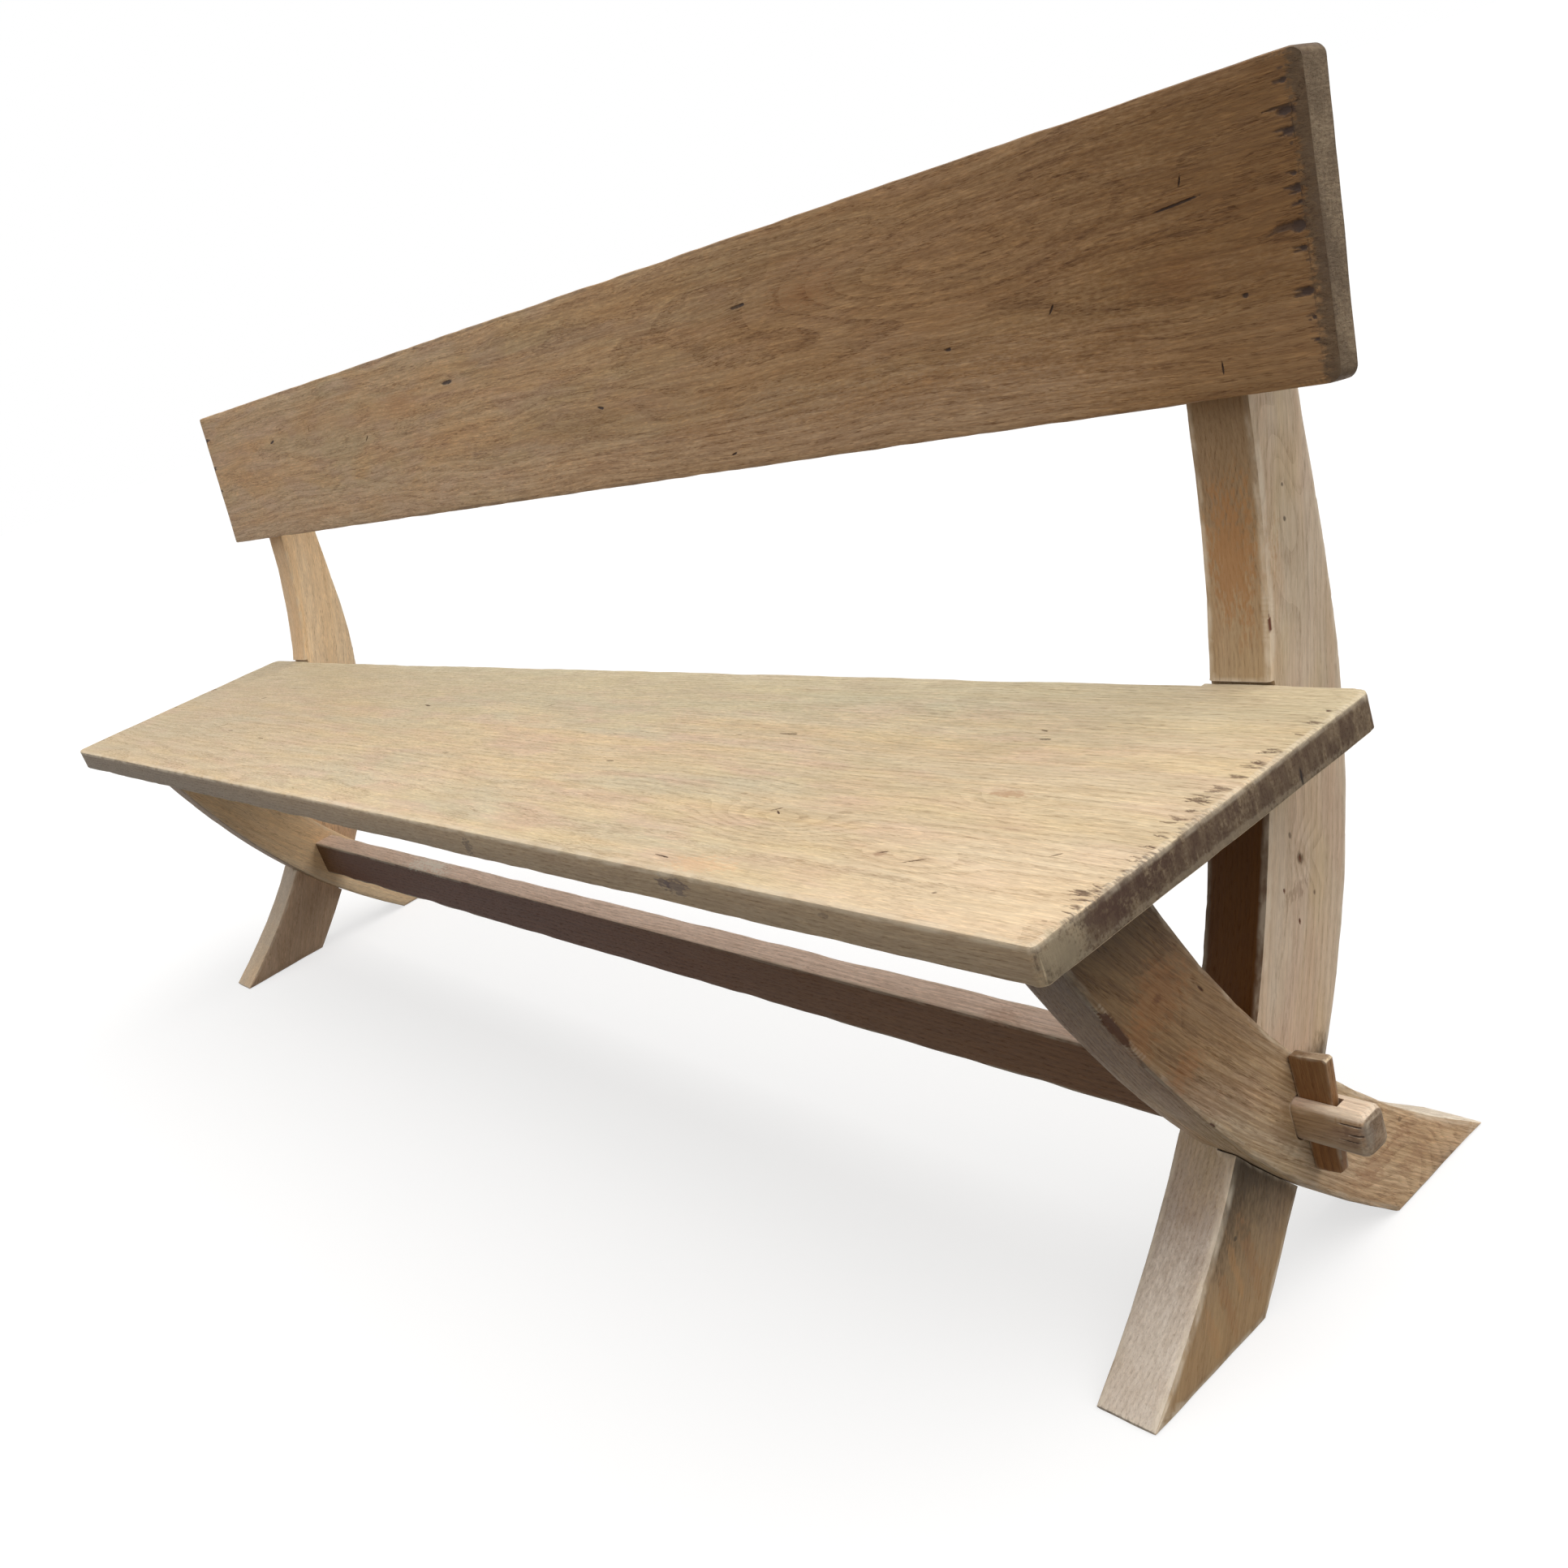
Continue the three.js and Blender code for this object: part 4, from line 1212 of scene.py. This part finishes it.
# Torn spots down the right end: up from the lower edge, in from the end, length, width, depth in mm
BACK_TEARS = (
    (172, 15, 26, 6.0, 2.0), (160, 14, 18, 5.0, 1.6), (134, 14, 8, 3.0, 1.2), (125, 13, 14, 6.0, 1.6),
    (116, 12, 10, 3.0, 1.2), (102, 16, 24, 9.0, 2.4), (88, 14, 12, 4.0, 1.4), (61, 15, 22, 6.0, 1.8),
    (44, 12, 9, 3.0, 1.0), (30, 12, 8, 3.0, 1.0), (190, 14, 12, 4.0, 1.4),
)
# Checks in the face: along from the middle, up from the lower edge, length, width, turn in degrees
BACK_CHECKS = (
    (956, 134, 42, 2.0, 5), (450, 148, 26, 3.2, 2), (-157, 155, 30, 5.0, 0), (176, 86, 14, 3.0, -12),
    (-769, 142, 18, 3.6, 10), (714, 71, 8, 3.0, 0), (830, 84, 10, 2.0, 50), (976, 21, 10, 1.6, 88),
    (1002, 66, 5, 3.4, 0), (962, 148, 8, 1.6, 70), (-428, 114, 13, 2.0, 32), (-616, 147, 12, 1.6, 74),
    (396, 16, 10, 2.0, 10),
)
back_start = back_up * face_foot + back_out * face_front
back_end = back_up * face_top + back_out * face_front
for side, tears, ticks in ((1, BACK_TEARS, 60), (-1, BACK_TEARS[::3], 40)):
    end_x = X * side * back_high.x
    tear_row(
        back_mesh, back_start + end_x, back_end + end_x,
        X * -side, back_out, tears, ticks, seed=51 + side,
    )
for along_back, up, length, width, turn in BACK_CHECKS:
    place = back_start + X * along_back * MM + back_up * up * MM
    lie = X * math.cos(math.radians(turn)) + back_up * math.sin(math.radians(turn))
    check_mark(back_mesh, place, lie, back_out, length * MM, width * MM, BACK_CHECK_DEPTH)
finish_timber(
    "back", back_mesh, back_arrises,
    straight_grain(back_start, X, back_up),
    back_oak, "bench_frame", "back_plank",
)

# %% [markdown]
# ## The end frames
#
# Posts and legs are sawn to a curve from wide, slightly bowed timber, so their grain follows the curve
# only in part and runs out at the edges. Straight grain would look like a board with a curve cut into
# it, and grain that follows every edge would look moulded. So the grain places of a post follow a flat
# circle, given by three points. What all four pieces share is written first.

# %% The frames' oak
FRAME_LOOK = dict(
    COMMON_LOOK,
    ground=tint(208, 184, 152),
    sway=0.03,
    ring=0.0045,
    ring_share=0.07,
    fibre_share=0.45,
    dash_share=0.4,
    end=tint(160, 138, 114),
    saw=(60.0, 420.0, 90.0),
    dirt_share=0.4,
)
print("the frames share", len(FRAME_LOOK), "values")

# %% [markdown]
# ## The right post's oak
#
# The right frame stands nearest the eye, so it has the most to say. The post is pale, with a knot, a
# few pin holes and a warm front above the seat. Painted shade darkens its front under the back and
# under the seat, and the side of its foot under the leg. The front of its foot is paler wood, darkened
# by painted shade near the crossing and painted almost white with light near the floor. Such changes go
# with height and with the way that a face looks, so most of them are zones. The knot and the holes are
# small and round, so they are spots.

# %% The right post's oak
post_right_oak = oak("post_right_oak", dict(
    FRAME_LOOK,
    seed=11.3,
    heart=(0.2, 0.01, 0.86),
    fibre_share=0.24,
    fleck_share=0.24,
    dash_share=0.22,
    pore_share=0.34,
    rub=tint(240, 226, 204),
    rub_width=0.0045,
    rub_low=0.15,
    rub_high=0.62,
    figure=(((974, 110, 330), (60, 60, 110), 0.12), ((974, 165, 560), (60, 60, 160), 0.08)),
    ground=tint(222, 203, 180),
    warm=tint(220, 194, 164),
    scar=tint(104, 62, 44),
    swells=(
        ((946, 146, 545), (60, 80, 90), 22), ((974, 110, 314), (60, 26, 36), 10),
        ((974, 176, 590), (60, 22, 70), 9),
    ),
    zones=(
        zone(0.7, (173, 143, 101), (2, 0.4, 0.42, 0.0), facing=FORWARD),
        # Painted shade: the front darkens towards the top, under the back
        zone(0.5, (140, 112, 84), (2, 0.54, 0.6, 0.04), facing=FORWARD),
        # Painted shade: the front between the crossing and the seat, under the seat, is almost black-brown
        zone(1.0, (96, 56, 2), (2, 0.425, 0.415, 0.0), (2, 0.15, 0.2, 0.0), facing=FORWARD),
        # Painted shade on the foot's front near the crossing, then paler wood painted almost white with
        # light near the floor
        zone(0.8, (160, 143, 134), (2, 0.17, 0.08, 0.02), facing=FORWARD),
        zone(0.95, (255, 244, 230), (2, 0.11, 0.035, 0.02), facing=FORWARD),
        # Painted shade on the foot's side under the crossing, darkest in a strip right under the leg
        zone(0.75, (134, 106, 70), (2, 0.18, 0.15, 0.02), facing=RIGHTWARD),
        zone(0.92, (68, 53, 33), (2, 0.055, 0.125, 0.02), (2, 0.18, 0.15, 0.0), facing=RIGHTWARD),
        zone(0.6, (184, 150, 106), (2, 0.08, 0.02, 0.02), facing=RIGHTWARD),
        zone(0.85, (88, 60, 42), (2, 0.0035, 0.002, 0.002), facing=FORWARD),
    ),
    spots=(
        ((946, 140, 545), (30, 40, 70), 0.6, 0.7, (172, 118, 66)),
        ((974, 101, 314), (8, 5, 6), 0.85, 0.5, (66, 50, 36)),
        ((974, 101, 314), (9, 13, 15), 0.3, 0.8, (160, 128, 90)),
        ((974, 96, 336), (8, 2.4, 3.2), 0.7, 0.4, (86, 64, 46)),
        ((974, 108, 281), (8, 2.2, 3.0), 0.7, 0.4, (92, 64, 46)),
        ((974, 90, 292), (8, 14, 7), 0.35, 1.2, (120, 84, 58)),
        ((974, 178, 580), (8, 1.8, 2.4), 0.8, 0.3, (70, 52, 42)),
        ((974, 172, 556), (8, 1.8, 2.4), 0.8, 0.3, (70, 52, 42)),
        ((974, -60, 58), (9, 9, 44), 0.3, 0.6, (150, 98, 54)),
        ((974, -78, 62), (9, 5, 40), 0.28, 0.6, (190, 138, 84)),
        ((974, -96, 40), (9, 8, 38), 0.3, 0.6, (150, 98, 56)),
        ((974, -118, 30), (9, 6, 28), 0.28, 0.6, (180, 132, 86)),
        ((925, -136, 118), (10, 30, 44), 0.5, 0.8, (138, 124, 124)),
        ((946, -150, 96), (18, 30, 24), 0.4, 0.8, (222, 176, 134)),
        ((974, -70, 84), (9, 3, 2.4), 0.8, 0.3, (60, 48, 34)),
    ),
))
print("the right post's oak is made")

# %% [markdown]
# ## The right leg's oak
# The leg is browner and coarser than the post. Painted shade darkens it under the seat and on its faces
# that look forward and down, and painted light makes the upper side of its foot almost white.
# The leg is browner and coarser than the post, dark under the seat, with a pale upper side on its foot.
# The two could share one oak, but they come from different boards, and their joint is easier to see
# when each has its own. So the leg starts from the same shared values and changes others.

# %% The right leg's oak
leg_right_oak = oak("leg_right_oak", dict(
    FRAME_LOOK,
    seed=15.9,
    heart=(0.1, -0.04, 0.84),
    ring_share=0.12,
    figure=(((997, 100, 50), (60, 90, 70), 0.08),),
    fibre_share=0.75,
    fleck_share=0.6,
    dash_share=0.5,
    scar=tint(78, 47, 24),
    swells=(((997, 120, 40), (60, 80, 60), 14), ((997, -95, 315), (60, 34, 40), 8)),
    zones=(
        # Painted shade: the leg darkens upwards under the seat, to almost black-brown just below it
        zone(0.85, (128, 97, 62), (2, 0.13, 0.29, 0.02)),
        zone(0.85, (73, 53, 23), (2, 0.29, 0.4, 0.01)),
        # Painted shade on the faces that look forward and down
        zone(0.4, (76, 58, 40), (2, 0.2, 0.3, 0.02), facing=FRONT_DOWN),
        zone(0.1, (110, 86, 66), (2, 0.24, 0.2, 0.02), (2, 0.12, 0.15, 0.02), facing=RIGHTWARD),
        zone(0.4, (216, 178, 142), (2, 0.13, 0.06, 0.03), facing=RIGHTWARD),
        # Painted light: the upper side of the foot is almost white
        zone(0.85, (244, 234, 216), (2, 0.12, 0.07, 0.02), facing=REAR_UP),
    ),
    spots=(
        ((997, -100, 318), (20, 38, 32), 0.3, 0.6, (150, 96, 50)),
        ((997, -128, 300), (20, 16, 26), 0.3, 0.6, (144, 92, 48)),
        ((997, -103, 317), (9, 5, 4), 0.6, 0.8, (92, 54, 28)),
        ((997, -96, 255), (20, 22, 18), 0.35, 0.7, (150, 96, 52)),
        ((997, 116, 74), (9, 3, 3), 0.7, 0.4, (106, 80, 56)),
        ((997, 84, 58), (20, 44, 12), 0.35, 1.2, (152, 104, 72)),
        ((997, 130, 34), (20, 30, 10), 0.3, 1.2, (156, 112, 82)),
        ((997, -12, 150), (20, 22, 26), 0.4, 0.8, (120, 92, 62)),
    ),
))
print("the right leg's oak is made")

# %% [markdown]
# ## The left frame's oak
#
# The left frame is warmer and calmer, and paler, partly as painted light. It stands far from the eye,
# where strong fine marks would only flicker, so its fibres and dashes are faint. Both of its pieces
# start from the same changes to the frames' look, and add painted shade on the sides that turn away
# from the light.

# %% The left frame's oak
# Paler, warmer wood for the left frame, partly painted light that brightens it more than the suns do
LEFT_PALE_AND_PAINTED_LIGHT = {
    "ground": tint(250, 222, 184), "warm": tint(252, 216, 168),
    "tones": (((5.0, 16.0, 16.0), 0.0, 0.3, (230, 194, 152)),),
    "ring_share": 0.04, "fibre_share": 0.18, "dash_share": 0.18,
}
post_left_oak = oak("post_left_oak", dict(
    FRAME_LOOK,
    seed=21.4,
    heart=(0.1, 0.02, -1.06),
    zones=(
        # Painted shade on faces that turn away from the light: the front, the foot's front and its right
        # side
        zone(0.35, (206, 178, 150), (2, 0.2, 0.45, 0.0), facing=FORWARD),
        zone(0.7, (178, 172, 166), (2, 0.2, 0.14, 0.03), facing=FORWARD),
        zone(0.8, (196, 166, 142), (2, 0.24, 0.15, 0.04), facing=RIGHTWARD),
    ),
    **LEFT_PALE_AND_PAINTED_LIGHT,
))
leg_left_oak = oak("leg_left_oak", dict(
    FRAME_LOOK,
    seed=27.2,
    heart=(0.0, -0.03, -1.04),
    zones=(
        # Painted shade on the faces that look forward and down, above the foot
        zone(0.8, (96, 72, 56), (2, 0.1, 0.16, 0.02), facing=FRONT_DOWN),
    ),
    **LEFT_PALE_AND_PAINTED_LIGHT,
))

print("the left frame's oak is made")

# %% [markdown]
# ## The posts and legs
#
# The right leg has a long chip on its arris, and the right post has a knot, pin holes and a splintered
# toe. The four pieces could be made one by one, but they differ only in their node, their middle line,
# their oak and their marks. So two tables say what differs, and one loop cuts, wears and marks them.

# %% The posts and legs
FRAME_CELL = 0.012
# Middle lines of a post and a leg, from the floor up: y and z
POST_LINE = (Vector((-0.129, 0.02)), Vector((0.022, 0.3)), Vector((0.196, 0.82)))
LEG_LINE = (Vector((0.156, 0.02)), Vector((-0.016, 0.193)), Vector((-0.164, 0.4)))
# Marks on the right frame: place, direction along, direction out, length, width and depth in mm
FRAME_MARKS = {
    "leg_right": (
        ((0.9972, -0.146, 0.313), (0, 0.34, -0.94), (0.7, -0.94, -0.34), 54, 14, 5.4),
        ((0.986, 0.2187, 0.006), (1, 0, 0), (0, 1, 0.5), 26, 9, 3.0),
        ((0.9972, -0.084, 0.201), (0, 0.55, -0.83), (1, -0.83, -0.55), 12, 6, 1.8),
        ((0.9972, -0.060, 0.300), (0, 0.5, -0.86), (1, 0, 0), 9, 1.8, 1.0),
    ),
    "post_right": (
        ((0.9745, 0.131, 0.496), (0, 0.2, 0.98), (1, -0.98, 0.2), 26, 8, 1.6),
        ((0.966, -0.1983, 0.007), (1, 0, 0), (0, -1, 0.5), 17, 9, 2.4),
        ((0.951, -0.1983, 0.006), (1, 0, 0), (0, -1, 0.5), 13, 8, 1.8),
        ((0.936, -0.1983, 0.007), (1, 0, 0), (0, -1, 0.5), 15, 9, 2.2),
        ((0.923, -0.1983, 0.006), (1, 0, 0), (0, -1, 0.5), 11, 8, 1.6),
        ((0.9745, 0.101, 0.314), (0, 0.2, 0.98), (1, 0, 0), 6, 3.0, 1.0),
        ((0.9745, 0.075, 0.300), (0, 0.2, 0.98), (1, 0, 0), 4, 2.4, 0.8),
        ((0.9745, 0.084, 0.269), (0, 0.2, 0.98), (1, 0, 0), 5, 2.4, 0.8),
    ),
}
FRAME_PARTS = (
    ("post_right", POST_LINE, post_right_oak), ("leg_right", LEG_LINE, leg_right_oak),
    ("post_left", POST_LINE, post_left_oak), ("leg_left", LEG_LINE, leg_left_oak),
)
for node, line, material in FRAME_PARTS:
    mesh = timber_copy(node)
    arrises = arris_points(mesh)
    for axis in (X, Y, Z):
        cut_cells(mesh, axis, FRAME_CELL)
    wear(mesh, arrises, *FRAME_WEAR)
    for place, lie, outward, length, width, depth in FRAME_MARKS.get(node, ()):
        check_mark(mesh, Vector(place), Vector(lie), Vector(outward).normalized(),
                   length * MM, width * MM, depth * MM)
    part, side = node.split("_")
    finish_timber(
        side + "_" + part, mesh, arrises, curved_grain(*line), material, "bench_frame", node,
    )

# %% [markdown]
# ## The oak of the stretcher and the wedges
#
# The stretcher is browner than the frames. Its top is rubbed pale and lightened further by painted
# light, most on the tenons where they stand out from under the seat, and its front is darkened by
# painted shade. The wedges are darker again, from another piece of oak, with painted light on their
# tops. Bare wood also mirrors a little grey from the sky, which shows most on a dark face that turns to
# the front. A colour copied by eye would come out too grey there, so the stretcher's front is written
# browner than it looks.

# %% Their oak
STRETCHER_LOOK = dict(
    COMMON_LOOK,
    seed=31.0,
    heart=(0.0, 0.05, -0.05),
    ground=tint(170, 139, 118),
    warm=tint(170, 135, 107),
    zones=(
        # Painted shade: the front face is dark, darkest towards the right frame; the tenon's front is left
        # out
        zone(0.95, (108, 73, 38), (0, 0.95, 0.93, 0.0), facing=FORWARD),
        zone(0.8, (64, 24, 0), (0, 0.9, -0.3, 0.1), facing=FORWARD),
        zone(0.5, (114, 85, 47), (0, -0.75, -0.95, 0.05), facing=FORWARD),
        # Painted light over a rubbed pale top, strongest on the tenon beyond the frame
        zone(0.92, (246, 219, 200), (2, 0.16, 0.17, 0.0), facing=UPWARD),
        zone(0.85, (246, 226, 202), (0, 1.0, 1.02, 0.0), facing=UPWARD),
    ),
    spots=(
        ((1057, 0, 154), (5, 12, 15), 0.6, 0.5, (150, 138, 124)),
        ((1050, -5, 150), (14, 6, 9), 0.45, 1.2, (110, 84, 68)),
        ((700, 0, 175), (24, 20, 5), 0.4, 1.2, (188, 146, 120)),
        ((-480, 11, 176), (70, 26, 6), 0.7, 1.2, (240, 232, 216)),
    ),
    end=tint(156, 132, 108),
    end_dark=tint(108, 88, 70),
)
WEDGE_LOOK = dict(
    COMMON_LOOK,
    seed=37.0,
    heart=(0.0, 0.02, 0.06),
    ground=tint(134, 96, 60),
    warm=tint(143, 99, 57),
    tones=(((30.0, 90.0, 90.0), 0.0, 0.5, (157, 111, 67)),),
    zones=(
        zone(0.45, (158, 122, 82), (2, 0.15, 0.2, 0.02)),
        # Painted light: the wedge's top is pale cream
        zone(0.95, (226, 202, 164), (2, 0.203, 0.205, 0.0), facing=UPWARD),
    ),
    spots=(
        ((1016, -7, 203), (3.2, 6, 5), 0.85, 0.8, (58, 38, 26)),
        ((1022, -7, 199), (2.0, 6, 8), 0.7, 0.8, (84, 54, 34)),
    ),
    end=tint(170, 140, 108),
    end_dark=tint(110, 80, 54),
)
stretcher_oak = oak("stretcher_oak", STRETCHER_LOOK)
wedge_oak = oak("wedge_oak", WEDGE_LOOK)
print("stretcher and wedge oak are made")

# %% [markdown]
# ## The stretcher
#
# The stretcher is a plain beam with a tenon at each end. The tenons stand out past the frames, rounded
# by use and cracked a little by drying. A bevel would round the arrises alone and leave the end flat.
# Here the last millimetres of each tenon draw in towards its middle line, so the whole end rounds off.

# %% The stretcher
STRETCHER_CELLS = (0.012, 0.008, 0.008)
TENON_CUTS = (1, 2.5, 4.5, 7)
TENON_CRACK_DEPTH = 1.4 * MM
TENON_ROUND = 9
TENON_DRAW = 0.2
stretcher_low, stretcher_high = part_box("stretcher")
mesh = timber_copy("stretcher")
arrises = arris_points(mesh)
for axis, size in zip((X, Y, Z), STRETCHER_CELLS):
    cut_cells(mesh, axis, size)
for side in (1, -1):
    cut_at(mesh, X, [side * (stretcher_high.x - c * MM) for c in TENON_CUTS])
wear(mesh, arrises, *STRETCHER_WEAR)
middle = (stretcher_low + stretcher_high) / 2
# The tenon stands higher than the stretcher's middle
TENON_MIDDLE = middle.z + 8.2 * MM
TENON_FRONT = middle.y - 14.05 * MM
TENON_TOP = middle.z + 26.2 * MM
# Drying cracks run in from the end of the right tenon: place, direction out, length and width in mm
TENON_CRACKS = (
    ((1.046, TENON_FRONT, middle.z + 0.014), Y * -1, 22, 1.6),
    ((1.050, TENON_FRONT, middle.z + 0.006), Y * -1, 15, 2.0),
    ((1.043, TENON_FRONT, middle.z + 0.000), Y * -1, 17, 1.2),
    ((1.040, middle.y - 0.006, TENON_TOP), Z, 34, 1.2),
    ((1.043, middle.y + 0.004, TENON_TOP), Z, 28, 1.0),
)
for place, outward, length, width in TENON_CRACKS:
    check_mark(mesh, Vector(place), X, outward, length * MM, width * MM, TENON_CRACK_DEPTH)
# The last millimetres of each tenon draw in towards its middle line
for vertex in mesh.verts:
    into = (abs(vertex.co.x) - stretcher_high.x) / (TENON_ROUND * MM) + 1
    if into > 0:
        drawn = TENON_DRAW * (1 - math.sqrt(max(0.0, 1 - into * into)))
        vertex.co.y += (middle.y - vertex.co.y) * drawn
        vertex.co.z += (TENON_MIDDLE - vertex.co.z) * drawn
finish_timber(
    "stretcher_beam", mesh, arrises,
    straight_grain(middle, X, Y), stretcher_oak, "bench_frame", "stretcher",
)

# %% [markdown]
# ## The wedges
#
# Each wedge is a small tapered piece that stands in the tenon's slot and holds the joint. It can be
# knocked up and out, so it rides on a body of its own. It could stay a plain block, but it is close to
# the eye. So it is worn like the rest, in smaller cells and more lightly, to keep it tight in its slot.

# %% The wedges
WEDGE_CELLS = (0.004, 0.003, 0.004)
for side in ("right", "left"):
    node = "wedge_" + side
    low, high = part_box(node)
    mesh = timber_copy(node)
    arrises = arris_points(mesh)
    for axis, size in zip((X, Y, Z), WEDGE_CELLS):
        cut_cells(mesh, axis, size)
    wear(mesh, arrises, *WEDGE_WEAR)
    finish_timber(
        side + "_wedge", mesh, arrises,
        straight_grain((low + high) / 2, Z, X), wedge_oak, node, node,
    )

# %% [markdown]
# ## Plugs, dowels and screws
#
# The plugs show behind the posts as small round pieces of oak, with their grain level. The dowels and
# screws are hidden, but they have their finish too. Worn copies of such small things would add
# triangles and show nothing more, so they keep their nodes from the frame and only change material.

# %% Small pieces
# How often each changes in a metre: pores and bands in oak, and bloom and turned rings on steel
PLUG_PORES = (60.0, 60.0, 900.0)
PLUG_BANDS = (20.0, 20.0, 260.0)
STEEL_BLOOM = (260.0, 260.0, 260.0)
STEEL_RINGS = (90.0, 1600.0, 90.0)
PORE_DEPTH = 0.3 * MM
RING_HEIGHT = 0.1 * MM


def small_oak(name):
    """Oak for plugs and dowels, read from the object's own coordinates."""
    material, tree = empty_material(name)
    place = add(tree, "TexCoord", {}).outputs["Object"]
    pores = step(tree, streaks(tree, place, PLUG_PORES, 2.0), 0.45, 0.65)
    bands = step(tree, streaks(tree, place, PLUG_BANDS, 2.0, (2.0, 0.0, 0.0)), 0.35, 0.65)
    colour = blend(tree, bands, tint(186, 152, 114), tint(166, 130, 92))
    colour = blend(tree, times(tree, pores, 0.6), colour, tint(104, 74, 48))
    rough = step(tree, pores, 0.0, 1.0, 0.6, 0.8)
    surface(tree, pores, 0.4, -PORE_DEPTH, {
        "Base Color": colour, "Roughness": rough, "Specular IOR Level": BARE_GLOSS,
    })
    return material


def screw_steel(name):
    """Plain steel with turned rings and a dull bloom."""
    material, tree = empty_material(name)
    place = add(tree, "TexCoord", {}).outputs["Object"]
    bloom = streaks(tree, place, STEEL_BLOOM, 3.0)
    turned = streaks(tree, place, STEEL_RINGS, 2.0)
    colour = blend(tree, step(tree, bloom, 0.4, 0.62), tint(186, 187, 189), tint(140, 138, 134))
    rough = step(tree, bloom, 0.35, 0.65, 0.28, 0.5)
    surface(tree, turned, 0.3, RING_HEIGHT, {
        "Base Color": colour, "Metallic": 1.0, "Roughness": rough,
    })
    return material


plug_oak = small_oak("plug_oak")
steel = screw_steel("screw_steel")
dressed = 0
for name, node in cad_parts.items():
    if "screw" in name or "plug" in name or "dowel" in name:
        node.data.materials.clear()
        node.data.materials.append(steel if "screw" in name else plug_oak)
        dressed += 1
print("small pieces dressed:", dressed)
